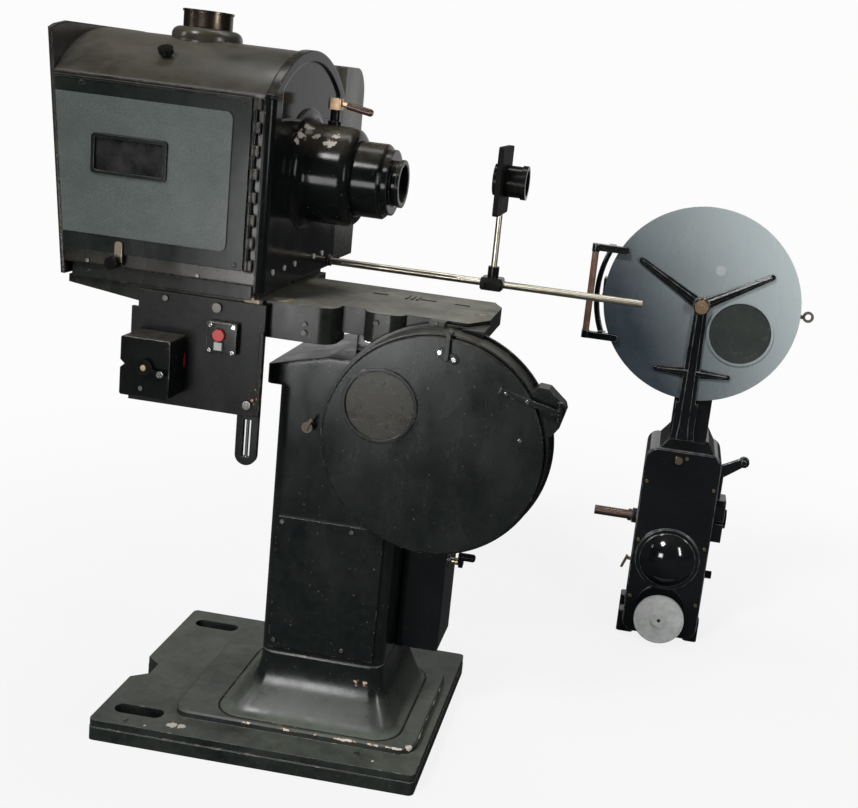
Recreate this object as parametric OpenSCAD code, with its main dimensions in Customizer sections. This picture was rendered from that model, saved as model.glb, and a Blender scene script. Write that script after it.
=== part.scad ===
// Film projector: a stand with base, column, tilting bed, arc lamphouse, take-up magazine and
// lens rod, and beside it the projector head with its feed magazine, standing by itself.
// Millimetres. X is the throw direction, Y points away from the viewer, Z is up.
// The origin is the centre of the base plate's underside.

/* [Base] */
// Length of the base plate along X
base_l = 722; // [640:1:820]
// Width of the base plate along Y
base_w = 550; // [500:1:640]
// Thickness of the base plate
base_t = 48; // [40:1:60]
// Corner radius of the base plate
base_r = 12; // [4:1:20]
// Height of the groove round the base plate
groove_z = 30; // [26:1:34]
// Depth of the groove round the base plate
groove_d = 3; // [2:1:5]
// Position of the rear notch across the base
notch_y = -36; // [-60:1:40]
// Width of the notch at its mouth
notch_mouth = 100; // [70:1:130]
// Width of the notch at its floor
notch_floor = 44; // [30:1:60]
// Depth of the notch
notch_d = 36; // [20:1:50]
// Length of the raised pad
pad_l = 545; // [520:1:580]
// Width of the raised pad
pad_w = 358; // [345:1:390]
// Height of the raised pad
pad_h = 16; // [10:1:24]
// Corner radius of the pad
pad_r = 38; // [20:1:60]
// Bevel of the pad's upper edge
pad_bevel = 4; // [2:1:8]
// Centre to centre distance of the two floor slots
slot_pitch = 424; // [380:1:460]
// Length of a floor slot
slot_l = 110; // [80:1:120]
// Width of a floor slot
slot_w = 36; // [24:1:40]
// Height of the pockets cast in the underside
pocket_h = 30; // [20:1:34]
// Wall round the pockets
pocket_wall = 18; // [12:1:30]

/* [Column] */
// Centre of the column along X
col_x = 99; // [80:1:120]
// Length of the column along X
col_l = 278; // [250:1:300]
// Width of the column along Y
col_w = 274; // [250:1:290]
// Corner radius of the column
col_r = 28; // [15:1:40]
// Wall of the column
col_wall = 12; // [8:1:18]
// Height of the column under its head
col_h = 748; // [680:1:840]
// Overhang of the head at the rear
head_over = 26; // [10:1:40]
// Height of the head's rear edge
head_low = 40; // [25:1:50]
// Height of the head's saddle
head_high = 74; // [60:1:78]
// Radius of the foot's hollow curve at the rear
flare_rear = 75; // [50:1:90]
// Radius of the foot's hollow curve on the other sides
flare_side = 42; // [20:1:50]
// Length of the front cover
cover_l = 236; // [200:1:240]
// Height of the front cover
cover_h = 330; // [280:1:340]
// Height of the front cover's lower edge above the floor
cover_z = 193; // [190:1:220]
// Thickness of the front cover
cover_t = 6; // [3:1:8]
// Height of the lever knob above the floor
knob_z = 734; // [700:1:760]
// Radius of the lever knob
knob_r = 12; // [8:1:14]
// Length of the drive box along X
box_l = 100; // [90:1:130]
// Width of the drive box along Y
box_w = 140; // [120:1:160]
// Height of the drive box
box_h = 413; // [350:1:430]
// Height of the drive box's underside above the floor
box_z = 207; // [200:1:240]
// Height of the clutch shaft above the floor
clutch_z = 420; // [380:1:460]
// Distance of the clutch handle from its shaft
clutch_arm = 18; // [14:1:30]

/* [Tilt] */
// Tilt pivot along X
piv_x = 130; // [110:1:150]
// Height of the tilt pivot over the column's saddle
piv_rise = 39; // [37:1:42]
// Radius of the trunnion
piv_r = 14; // [10:1:18]
// Radius of the pivot cheeks
cheek_r = 31; // [26:1:32]
// Thickness of a cheek
cheek_t = 24; // [15:1:30]
// Width of the bed's lug
lug_w = 60; // [40:1:80]

/* [Bed] */
// Height of the bed's top over the tilt pivot
bed_rise = 75; // [73:1:79]
// Thickness of the bed's edge
bed_t = 38; // [30:1:38]
// Thickness of the bed's rear end
bed_tail = 16; // [12:1:24]
// Length of the bed behind the lamphouse front
bed_rear = 410; // [400:1:430]
// Width of the bed under the lamphouse
bed_w = 410; // [400:1:440]
// Position of the bed's front end
bed_x1 = 385; // [370:1:400]
// Near edge of the bed's front part
bed_near = 142; // [140:1:143]
// Far edge of the bed's front part
bed_far = 125; // [100:1:150]
// Depth of the two hanging lobes
lobe_h = 76; // [60:1:78]
// Reach of the first lobe to the near side
lobe_a = 192; // [170:1:200]
// Reach of the second lobe to the near side
lobe_b = 168; // [155:1:180]
// Width of the slide rail
rail_w = 40; // [30:1:60]
// Height of the slide rail
rail_h = 8; // [5:1:12]

/* [Magazines] */
// Outer radius of the lower magazine's flange
mag_r = 241; // [238:1:248]
// Radius of the lower magazine's drum
drum_r = 234; // [231:1:236]
// Radius of the lower door
door_r = 228; // [220:1:230]
// Depth of a magazine's shell
mag_d = 62; // [50:1:75]
// Wall of a magazine
mag_wall = 5; // [3:1:8]
// Thickness of a magazine's door
mdoor_t = 13; // [8:1:16]
// Centre of the lower magazine along X
mag_x = 316; // [312:1:320]
// Depth of the lower magazine's centre under the bed's top
mag_drop = 246; // [240:1:252]
// Gap between the lower magazine and the column's front
mag_gap = 13; // [9:1:20]
// Outer radius of the lower window's ring
win_r = 78; // [60:1:84]
// Width of a window's ring
win_ring = 7; // [4:1:12]
// Height of a window's ring over the face
win_rise = 4; // [2:1:8]
// Reach of the lower door's hinge line from the magazine's centre
hinge_reach = 248; // [244:1:252]
// Thickness of the window glass
glass_t = 3; // [2:1:5]
// Radius of a magazine's spindle
spin_r = 8; // [6:1:12]
// Radius of the take-up pulley
pulley_r = 55; // [40:1:58]

/* [Switch gear] */
// Length of the switch plate
sw_l = 281; // [260:1:300]
// Depth of the switch plate's lower edge under the bed's top
sw_drop = 243; // [236:1:252]
// Thickness of the switch plate
sw_t = 8; // [4:1:10]
// Front end of the switch plate along X
sw_x1 = -49; // [-60:1:-40]
// Width of the rotary switch box
rot_l = 102; // [90:1:110]
// Height of the rotary switch box
rot_h = 121; // [110:1:130]
// Depth of the rotary switch box
rot_d = 73; // [60:1:80]
// Width of the push button box
but_l = 62; // [56:1:70]
// Height of the push button box
but_h = 66; // [60:1:70]
// Depth of the push button box
but_d = 16; // [12:1:20]
// Radius of the red push button
red_r = 12; // [8:1:14]
// Side of the grey push button
grey_s = 16; // [12:1:20]
// Travel of the push buttons
but_travel = 4; // [2:1:5]
// Width of the slotted bar
bar_w = 46; // [36:1:56]
// Depth of the slotted bar's lower end under the bed's top
bar_drop = 352; // [330:1:380]
// Thickness of the slotted bar
bar_t = 10; // [6:1:12]

/* [Lamphouse] */
// Rear end of the lamphouse body along X
lamp_x0 = -468; // [-480:1:-460]
// Lean of the lamphouse's rear, from the bed up to the roof
lean = 42; // [0:1:50]
// Front end of the lamphouse body along X
lamp_x1 = -72; // [-80:1:-68]
// Width of the lamphouse body
lamp_w = 452; // [440:1:460]
// Height of the slide under the body
slide_h = 30; // [24:1:36]
// Height of the lamphouse walls under the roof
wall_h = 375; // [365:1:385]
// Rise of the roof's arch
arch_rise = 93; // [80:1:105]
// Sheet thickness of the body
sheet = 5; // [3:1:6]
// Thickness of the rear plate
rear_t = 8; // [6:1:16]
// Chamfer of the rear plate's upper corners
rear_c = 16; // [8:1:45]
// Height of the optical axis over the bed's top
axis_rise = 250; // [245:1:255]
// Thickness of the front casting's plate
front_t = 18; // [12:1:24]
// Outer radius of the nose
nose_r = 105; // [104:1:116]
// Radius of the hollow curve at the nose's root
nose_root = 26; // [10:1:36]
// Wall of the nose
nose_wall = 10; // [6:1:14]
// Front end of the nose along X
nose_x = 62; // [50:1:75]
// Radius of the nose's rounded shoulder
nose_round = 22; // [10:1:26]
// Outer radius of the nose tube
tube_r = 80; // [72:1:82]
// Length of the nose tube
tube_l = 60; // [50:1:70]
// Outer radius of the tube's collar
collar_r = 70; // [60:1:72]
// Length of the collar
collar_l = 14; // [8:1:20]
// Outer radius of the end ring
ring_r = 48; // [44:1:58]
// Length of the end ring
ring_l = 20; // [14:1:40]
// Wall of the nose tube and its rings
tube_wall = 8; // [5:1:10]
// Width of the far side housing
pod_w = 165; // [120:1:180]
// Rear end of the far side housing along X
pod_x0 = -330; // [-380:1:-250]
// Corner radius of the far side housing's top
pod_r = 66; // [20:1:80]
// Chimney position along X
chim_x = -292; // [-310:1:-270]
// Radius of the chimney pipe
chim_r = 50; // [40:1:60]
// Height of the chimney pipe over the collar
chim_h = 36; // [25:1:50]
// Outer radius of the chimney collar
chim_collar = 72; // [64:1:80]
// Wall of the chimney pipe
chim_wall = 4; // [3:1:6]
// Position of the roof knob along X
rknob_x = -305; // [-340:1:-200]
// Distance of the roof knob from the middle
rknob_y = 160; // [120:1:180]

/* [Lamphouse door] */
// Thickness of the door's frame
door_t = 10; // [6:1:14]
// Height of the door's lower edge over the slide
door_low = 30; // [26:1:40]
// Distance of the door's upper edge under the roof's edge
door_top = 6; // [3:1:12]
// Distance of the hinge line behind the body's front end
hinge_in = 18; // [12:1:24]
// Radius of the hinge barrel
hinge_r = 5; // [4:1:7]
// Number of knuckles of the hinge, an odd number
hinge_n = 15; // [5:2:17]
// Thickness of the door panel
panel_t = 3; // [2:1:5]
// Corner radius of the door panel
panel_r = 14; // [6:1:24]
// Length of the door's window
dwin_l = 154; // [120:1:170]
// Height of the door's window
dwin_h = 78; // [60:1:90]
// Width of the window's frame
dwin_rim = 7; // [6:1:16]

/* [Dowser and lamp] */
// Radius of the dowser shaft
dow_r = 6; // [4:1:8]
// Radius of the dowser blade
blade_r = 71; // [68:1:74]
// Height of the dowser's clamp over the nose
dow_rise = 32; // [20:1:40]
// Droop of the dowser's grip in degrees
droop = 10; // [0:1:14]
// Length of the dowser's grip
dgrip_l = 56; // [40:1:70]
// Radius of the dowser's grip
dgrip_r = 8; // [6:1:10]
// Radius of the mirror
mirror_r = 120; // [90:1:130]
// Curvature radius of the mirror
mirror_c = 260; // [220:1:320]
// Radius of the carbons
carbon_r = 5; // [3:1:7]
// Gap between the carbons
arc_gap = 12; // [6:1:16]
// Distance of the arc behind the lamphouse's front
arc_back = 178; // [160:1:200]
// Length of the rear carbon
carbon_a = 129; // [100:1:130]
// Length of the front carbon
carbon_b = 104; // [90:1:130]
// Distance of the rear jaw behind the arc
jaw_a = 96; // [60:1:100]
// Distance of the front jaw in front of the arc
jaw_b = 78; // [60:1:90]
// Reach of the lamp carriage in front of the arc
carriage_l = 120; // [100:1:140]

/* [Lens rod] */
// Radius of the rod
rod_r = 8.5; // [7:0.5:10]
// Position of the rod across the stand
rod_y = 200; // [190:1:205]
// Height of the rod over the bed's top
rod_rise = 30; // [29:1:45]
// Radius of the boss that holds the rod
boss_r = 12; // [10:1:20]
// Length of the boss that holds the rod
boss_l = 6; // [4:1:16]
// Front end of the rod along X
rod_x1 = 690; // [600:1:720]
// Position of the clamp along X
clamp_x = 338; // [200:1:450]
// Side of the clamp's body
clamp_s = 36; // [30:1:44]
// Radius of the post
post_r = 7; // [5:0.5:8]
// Height of the post over the rod
post_h = 162; // [150:1:200]
// Width of the lens board
board_w = 150; // [120:1:160]
// Height of the lens board
board_h = 155; // [130:1:170]
// Thickness of the lens board
board_t = 12; // [8:1:16]
// Radius of the slide lens barrel
slens_r = 36; // [28:1:42]
// Length of the slide lens in front of the board
slens_l = 50; // [36:1:60]

/* [Head] */
// Centre of the head along X
head_x = 856; // [840:1:880]
// Front plane of the head's cover along Y
head_y = 633; // [600:1:640]
// Width of the head
head_w = 212; // [200:1:224]
// Depth of the head's housing
head_d = 174; // [150:1:200]
// Height of the head's lower edge above the floor
head_z = 15; // [10:1:20]
// Height of the head's shoulders above the floor
shoulder_z = 562; // [540:1:580]
// Corner radius of the head
head_r = 32; // [16:1:34]
// Wall of the head's housing
head_wall = 8; // [6:1:12]
// Thickness of the head's cover
hcover_t = 6; // [4:1:8]
// Height of the dome's centre above the floor
dome_z = 245; // [240:1:260]
// Radius of the dome
dome_r = 82; // [70:1:84]
// Height of the dome over the cover
dome_h = 44; // [35:1:55]
// Height of the handwheel's centre above the floor
wheel_z = 79; // [78:1:82]
// Radius of the handwheel
wheel_r = 70; // [60:1:72]
// Thickness of the handwheel
wheel_t = 12; // [8:1:16]
// Distance of the handwheel from the cover
wheel_gap = 34; // [30:1:45]
// Height of the input shaft above the floor
shaft_z = 330; // [320:1:385]
// Radius of the input shaft
shaft_r = 13; // [10:1:15]
// Length of the input shaft outside the head
shaft_l = 122; // [90:1:140]
// Height of the projection lens above the floor
lens_z = 360; // [350:1:385]
// Outer radius of the projection lens
plens_r = 30; // [24:1:34]
// Height of the framing lever above the floor
frame_z = 215; // [200:1:240]
// Height of the framing knob above the floor
fknob_z = 190; // [180:1:230]
// Centre of the feed magazine along X
um_x = 840; // [835:1:860]
// Centre of the feed magazine above the floor
um_z = 975; // [965:1:985]
// Near face of the feed magazine along Y
um_y = 625; // [606:1:631]
// Outer radius of the feed magazine's flange
um_r = 262; // [250:1:270]
// Width of the feed magazine's flange outside its drum
um_flange = 14; // [8:1:20]
// Outer radius of the feed magazine's window ring
uwin_r = 89; // [80:1:92]
// Length of the spider's two upper arms
arm_l = 200; // [180:1:215]
// Width of the spider's upright
spider_w = 40; // [30:1:50]
// Length of the carrying grip
grip_l = 214; // [190:1:230]
// Radius of the carrying grip
grip_r = 9; // [8:1:12]
// Distance of the grip from the feed magazine's rim
grip_out = 36; // [34:1:48]
// Gap between the feed magazine's rim and the handle's arc
arc_out = 13; // [8:1:16]

/* [Fits] */
// Running clearance of a shaft in its bore
run_c = 0.05; // [0.02:0.01:0.1]
// Clearance between neighbouring moving faces
gap_c = 0.5; // [0.4:0.1:1]
// Clearance of a flat-sided key or of a seated piece
key_c = 0.3; // [0.2:0.05:0.5]

/* [Hidden] */
$fn = 48;
cut = 1;

pad_z = base_t + pad_h;
slot_x = -base_l / 2 + 86;
pad_x = 68;
pad_y = -29;
col_x0 = col_x - col_l / 2;
col_x1 = col_x + col_l / 2;
col_y = col_w / 2;
col_top = pad_z + col_h;
foot_steps = [0, 0.04, 0.12, 0.24, 0.4, 0.56, 0.77, 1];
front_y = -col_y;
cover_y = front_y - cover_t;
knob_x = col_x0 + 76;
box_y0 = -30;
box_x1 = col_x1 + box_l;
piv_z = col_top + head_high + piv_rise;
bed_z = piv_z + bed_rise;
mag_z = bed_z - mag_drop;
sw_z = bed_z - sw_drop;
bar_z = bed_z - bar_drop;
axis_z = bed_z + axis_rise;
rod_z = bed_z + rod_rise;
slens_z = rod_z + post_h + board_h / 2;
slens_x1 = clamp_x + board_t / 2 + slens_l;
lug_y = lug_w / 2;
cheek_y0 = lug_y + gap_c;
bed_mid = -60;
bed_x0 = bed_mid - bed_rear;
lobe_x = 86;
lobe_x2 = 136;
lobe_x3 = 222;
bed_y = bed_w / 2;
bed_low = bed_z - bed_t;
mag_back = front_y - mag_gap;
mag_front = mag_back - mag_d;
mdoor_y = mag_front - mdoor_t;
lhinge_x = mag_x + hinge_reach;
lhinge_z = mag_z + 114;
win_x = mag_x - 114;
win_z = mag_z + 71;
llatch_x = mag_x + 13;
llatch_z = mag_z + 193;
keep_z = mag_z + door_r + 8;
lug_y0 = mag_front + 44;
plate_y = -bed_y - sw_t;
sw_x0 = sw_x1 - sw_l;
bar_x = sw_x1 - 4 - bar_w / 2;
rot_x0 = sw_x0 + 16;
rot_y = plate_y - rot_d;
rot_z0 = sw_z + 31;
rot_cx = rot_x0 + rot_l / 2 + 3;
rot_cz = rot_z0 + 64;
but_x0 = sw_x1 - 114;
but_z0 = sw_z + 126;
but_y = plate_y - but_d;
slide_z = bed_z + slide_h;
lamp_y = lamp_w / 2;
eave_z = slide_z + wall_h;
arch_r = (lamp_y * lamp_y + arch_rise * arch_rise) / (2 * arch_rise);
arch_z = eave_z + arch_rise - arch_r;
roof_z = eave_z + arch_rise;
front_x = lamp_x1 + front_t;
tube_x = nose_x + tube_l;
collar_x = tube_x + collar_l;
door_z0 = slide_z + door_low;
door_z1 = eave_z - door_top;
door_y = -lamp_y - gap_c;
door_face = door_y - door_t;
hinge_x = lamp_x1 - hinge_in;
hinge_y = door_y - door_t / 2;
door_x0 = lamp_x0 + 6;
door_x1 = hinge_x - hinge_r - gap_c;
knuckle = (door_z1 - door_z0) / hinge_n;
dwin_x0 = lamp_x0 + 56;
dwin_z0 = slide_z + 186;
latch_x = lamp_x0 + 112;
latch_z = slide_z + 14;
latch_up = door_low + 2;
dow_x = front_x + 50;
dow_z = axis_z + nose_r + dow_rise;
arc_x = lamp_x1 - arc_back;
riv_y = [-180, -112, -47, 79, 138];
head_x0 = head_x - head_w / 2;
head_x1 = head_x + head_w / 2;
house_y = head_y + hcover_t;
head_y1 = house_y + head_d;
wheel_x = head_x - 5;
wheel_y = head_y - wheel_gap;
shaft_y = house_y + 74;
um_back = um_y + mag_d;
um_drum = um_r - um_flange;
uwin_x = um_x + 112;
uwin_z = um_z - 62;
uhinge_x = um_x - um_r - 2;
grip_x = um_x - um_r - grip_out;
grip_y = um_y - grip_r;
harm_z = grip_l / 2 + 12;
spider_y = um_y - 12;
hub_y = um_y - 20;

// Plain box between two corners
module bx(x0, x1, y0, y1, z0, z1) translate([x0, y0, z0]) cube([x1 - x0, y1 - y0, z1 - z0]);
// Cylinder along Z
module zc(x, y, z0, z1, r, r2 = -1) translate([x, y, z0])
  cylinder(h = z1 - z0, r1 = r, r2 = r2 < 0 ? r : r2);
// Cylinder along Y, from the near end y0 to the far end y1
module yc(x, z, y0, y1, r, r2 = -1) translate([x, y0, z]) rotate([-90, 0, 0])
  cylinder(h = y1 - y0, r1 = r, r2 = r2 < 0 ? r : r2);
// Cylinder along X
module xc(y, z, x0, x1, r, r2 = -1) translate([x0, y, z]) rotate([0, 90, 0])
  cylinder(h = x1 - x0, r1 = r, r2 = r2 < 0 ? r : r2);
// Box with its four upright edges rounded
module rb(x0, x1, y0, y1, z0, z1, r) {
  bx(x0 + r, x1 - r, y0, y1, z0, z1);
  bx(x0, x1, y0 + r, y1 - r, z0, z1);
  for (x = [x0 + r, x1 - r], y = [y0 + r, y1 - r]) zc(x, y, z0, z1, r);
}
// Box with the four edges along Y rounded
module ry(x0, x1, y0, y1, z0, z1, r) {
  bx(x0 + r, x1 - r, y0, y1, z0, z1);
  bx(x0, x1, y0, y1, z0 + r, z1 - r);
  for (x = [x0 + r, x1 - r], z = [z0 + r, z1 - r]) yc(x, z, y0, y1, r);
}
// Outline in the XZ plane, drawn through y0 to y1
module xz(y0, y1) translate([0, y1, 0]) rotate([90, 0, 0]) linear_extrude(y1 - y0) children();
// Outline in the YZ plane, drawn through x0 to x1
module yz(x0, x1) translate([x0, 0, 0]) rotate([90, 0, 90]) linear_extrude(x1 - x0) children();
// Round screw head facing the near side
module nscrew(x, z, y, r) {
  yc(x, z, y - 3, y, r, $fn = 20);
}

// Cast base plate with notch, floor slots and the raised pad
module base_plate() color([0.10, 0.12, 0.12]) difference() {
  union() {
    rb(-base_l / 2, base_l / 2, -base_w / 2, base_w / 2, 0, groove_z, base_r);
    rb(-base_l / 2 + groove_d, base_l / 2 - groove_d, -base_w / 2 + groove_d,
      base_w / 2 - groove_d, groove_z - 1, base_t - 1, base_r - groove_d);
    rb(-base_l / 2 + 1, base_l / 2 - 1, -base_w / 2 + 1, base_w / 2 - 1,
      groove_z + groove_d, base_t, base_r - 1);
    rb(pad_x - pad_l / 2, pad_x + pad_l / 2, pad_y - pad_w / 2, pad_y + pad_w / 2,
      base_t - 1, pad_z - pad_bevel, pad_r);
    hull() {
      rb(pad_x - pad_l / 2, pad_x + pad_l / 2, pad_y - pad_w / 2, pad_y + pad_w / 2,
        pad_z - pad_bevel - 0.1, pad_z - pad_bevel, pad_r, $fn = 32);
      rb(pad_x - pad_l / 2 + pad_bevel, pad_x + pad_l / 2 - pad_bevel,
        pad_y - pad_w / 2 + pad_bevel, pad_y + pad_w / 2 - pad_bevel,
        pad_z - 0.1, pad_z, pad_r - pad_bevel, $fn = 32);
    }
  }
  translate([-base_l / 2, notch_y, -cut]) linear_extrude(base_t + 2 * cut)
    polygon([[-cut, -notch_mouth / 2], [notch_d, -notch_floor / 2],
      [notch_d, notch_floor / 2], [-cut, notch_mouth / 2]]);
  for (s = [-1, 1]) {
    bx(slot_x - slot_l / 2 + slot_w / 2, slot_x + slot_l / 2 - slot_w / 2,
      s * slot_pitch / 2 - slot_w / 2, s * slot_pitch / 2 + slot_w / 2, -cut, base_t + cut);
    for (e = [-1, 1]) zc(slot_x + e * (slot_l - slot_w) / 2, s * slot_pitch / 2,
      -cut, base_t + cut, slot_w / 2);
  }
  bx(slot_x + slot_l / 2 + pocket_wall, -pocket_wall / 2, -base_w / 2 + pocket_wall,
    base_w / 2 - pocket_wall, -cut, pocket_h);
  bx(pocket_wall / 2, base_l / 2 - pocket_wall, -base_w / 2 + pocket_wall,
    base_w / 2 - pocket_wall, -cut, pocket_h);
}

// Reach of a hollow curve of radius r at the height h over its foot, ending just inside the wall
function hollow(r, h) = h >= r ? -1 : r - sqrt(r * r - (r - h) * (r - h));

// One thin level slice of the column's foot at the height h over the pad
module foot_slice(h) {
  rb(col_x0 - hollow(flare_rear, h), col_x1 + hollow(flare_side, h), -col_y - hollow(flare_side, h),
    min(col_y + hollow(flare_side, h), pad_y + pad_w / 2 - 2), pad_z + h, pad_z + h + 0.1,
    col_r, $fn = 32);
}

// Hollow cast column with flared foot, saddle head and the two pivot cheeks
module column() color([0.10, 0.12, 0.13]) difference() {
  union() {
    rb(col_x0, col_x1, -col_y, col_y, pad_z, col_top, col_r);
    for (i = [0:6]) hull() {
      foot_slice(flare_rear * foot_steps[i]);
      foot_slice(flare_rear * foot_steps[i + 1]);
    }
    intersection() {
      xz(-col_y, col_y) polygon([[col_x0 - head_over, col_top], [col_x0 - head_over,
        col_top + head_low], [col_x0 + 35, col_top + (head_low + head_high) / 2],
        [col_x0 + 105, col_top + head_high], [col_x1, col_top + head_high],
        [col_x1, col_top]]);
      rb(col_x0 - head_over, col_x1, -col_y, col_y, col_top - cut,
        col_top + head_high + cut, col_r / 2);
    }
    for (s = [-1, 1]) {
      yc(piv_x, piv_z, s > 0 ? cheek_y0 : -cheek_y0 - cheek_t,
        s > 0 ? cheek_y0 + cheek_t : -cheek_y0, cheek_r);
      bx(piv_x - cheek_r, piv_x + cheek_r, s > 0 ? cheek_y0 : -cheek_y0 - cheek_t,
        s > 0 ? cheek_y0 + cheek_t : -cheek_y0, col_top + head_high - 2, piv_z);
    }
  }
  rb(col_x0 + col_wall, col_x1 - col_wall, -col_y + col_wall, col_y - col_wall,
    pad_z - cut, col_top + head_low - col_wall, col_r - col_wall);
  bx(col_x - cover_l / 2 + 20, col_x + cover_l / 2 - 20, -col_y - flare_side, -col_y + col_wall + cut,
    cover_z + 42, cover_z + cover_h - 20);
  yc(piv_x, piv_z, -cheek_y0 - cheek_t - cut, cheek_y0 + cheek_t + cut, piv_r + run_c);
  yc(knob_x, knob_z, -col_y - cut, -col_y + col_wall + cut, 5 + run_c);
}

// Screwed cover on the column's near face
module column_cover() color([0.10, 0.12, 0.13])
  ry(col_x - cover_l / 2, col_x + cover_l / 2, cover_y, front_y, cover_z + 22,
    cover_z + cover_h, 6);

// Fixed screws of the base, the column's cover and the head's cover, with the oil plug
module screws() color([0.75, 0.75, 0.72]) {
  for (x = [col_x - cover_l / 2 + 12, col_x + cover_l / 2 - 70],
    z = [cover_z + 40, cover_z + cover_h - 12]) nscrew(x, z, cover_y, 5);
  for (p = [[-286, -255], [223, -232]]) zc(p[0], p[1], base_t, base_t + 3, 5, $fn = 20);
  for (x = [head_x - head_w / 2 + 13, head_x + head_w / 2 - 13], z = [121, 291, 465])
    nscrew(x, z, head_y, 5);
  yc(head_x - 14, 537, head_y - 8, head_y, 11);
  nscrew(head_x + 8, 545, head_y, 5);
}

// Turning knob with a small lever on the column's near face
module column_knob() color([0.35, 0.22, 0.14]) {
  yc(knob_x, knob_z, front_y - 2, front_y + col_wall + 6, 5);
  yc(knob_x, knob_z, front_y - 22, front_y - 2, knob_r);
  translate([knob_x, front_y - 26, knob_z]) rotate([0, 25, 0]) {
    bx(-3, 3, 0, 5, -4, 20);
    yc(0, 20, 0, 5, 4, $fn = 24);
  }
}

// Drive box on the column's front side, with an open top under its lid flange
module drive_box() color([0.06, 0.06, 0.07]) difference() {
  union() {
    rb(col_x1, box_x1, box_y0, box_y0 + box_w, box_z, box_z + box_h, 8);
    xc(0, clutch_z, box_x1 - 1, box_x1 + 6, 18);
  }
  bx(col_x1 - cut, box_x1 - 8, box_y0 + 8, box_y0 + box_w - 8, box_z + 8, box_z + box_h - 8);
  xc(0, clutch_z, box_x1 - 20, box_x1 + 20, 8 + run_c);
}

// Clutch lever: short brass-coloured shaft with a black wing handle
module clutch_lever() color([0.45, 0.36, 0.22]) {
  xc(0, clutch_z, box_x1 - 16, box_x1 + 24, 8);
  translate([box_x1 + 24, 0, clutch_z]) rotate([25, 0, 0]) {
    bx(0, 10, -8, 8, -11, clutch_arm);
    xc(0, clutch_arm, 0, 34, 9);
    xc(0, clutch_arm, 34, 38, 9, 6);
  }
}

// Drum of radius rd standing on its rim, with a flange of radius rf and one closed side
module drum(x, z, y0, y1, rd, rf, floor_far) difference() {
  union() {
    yc(x, z, y0, y1, rd, $fn = 96);
    if (floor_far) yc(x, z, y1 - mag_wall - 3, y1, rf, $fn = 96);
    else yc(x, z, y0, y0 + mag_wall + 1, rf, $fn = 96);
  }
  if (floor_far) yc(x, z, y0 - cut, y1 - mag_wall, rd - mag_wall, $fn = 96);
  else yc(x, z, y0 + mag_wall, y1 + cut, rd - mag_wall, $fn = 96);
}

// Outline of the bed's front part, with its sloped corners
module bed_plan() polygon([[bed_mid - 2, -bed_near], [bed_x1 - 34, -bed_near],
  [bed_x1, -bed_near + 60], [bed_x1, bed_far - 50], [bed_x1 - 24, bed_far], [bed_mid - 2, bed_far]]);

// Shell of the lower magazine with its two lugs to the bed, hinge lug and keeper boss
module lower_shell() color([0.08, 0.10, 0.11]) difference() {
  union() {
    drum(mag_x, mag_z, mag_front, mag_back, drum_r, mag_r, true);
    difference() {
      union() {
        bx(mag_x - 42, mag_x - 9, lug_y0, -bed_near + 2, bed_z - 24, bed_z);
        bx(mag_x + 28, mag_x + 73, lug_y0, -bed_near + 50, bed_z - 35, bed_z - 8);
      }
      translate([0, 0, bed_low - cut]) linear_extrude(bed_t + 2 * cut) bed_plan();
      yc(mag_x, mag_z, lug_y0 - cut, mag_back - 1, drum_r - 1, $fn = 96);
    }
    xz(mag_front, mag_back - 20) polygon([[mag_x + 180, lhinge_z + 20], [mag_x + 200, lhinge_z + 39],
      [mag_x + 222, lhinge_z + 37], [lhinge_x + 8, lhinge_z + 8], [lhinge_x + 12, lhinge_z - 4],
      [lhinge_x + 3, lhinge_z - 38], [lhinge_x - 12, lhinge_z - 60], [mag_x + 216, lhinge_z - 64]]);
    for (z = [lhinge_z - 26, lhinge_z + 4]) {
      zc(lhinge_x, mdoor_y + 6, z, z + 12, 6, $fn = 32);
      bx(lhinge_x - 5, lhinge_x + 5, mdoor_y + 6, mag_front + 2, z, z + 12);
    }
    zc(lhinge_x, mdoor_y + 6, lhinge_z - 26, lhinge_z + 16, 3, $fn = 32);
    yc(llatch_x, keep_z, mdoor_y - 6, mag_front + 8, 6.5, $fn = 32);
  }
  yc(mag_x, mag_z, mag_back - 20, mag_back + cut, spin_r + run_c);
}

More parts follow.
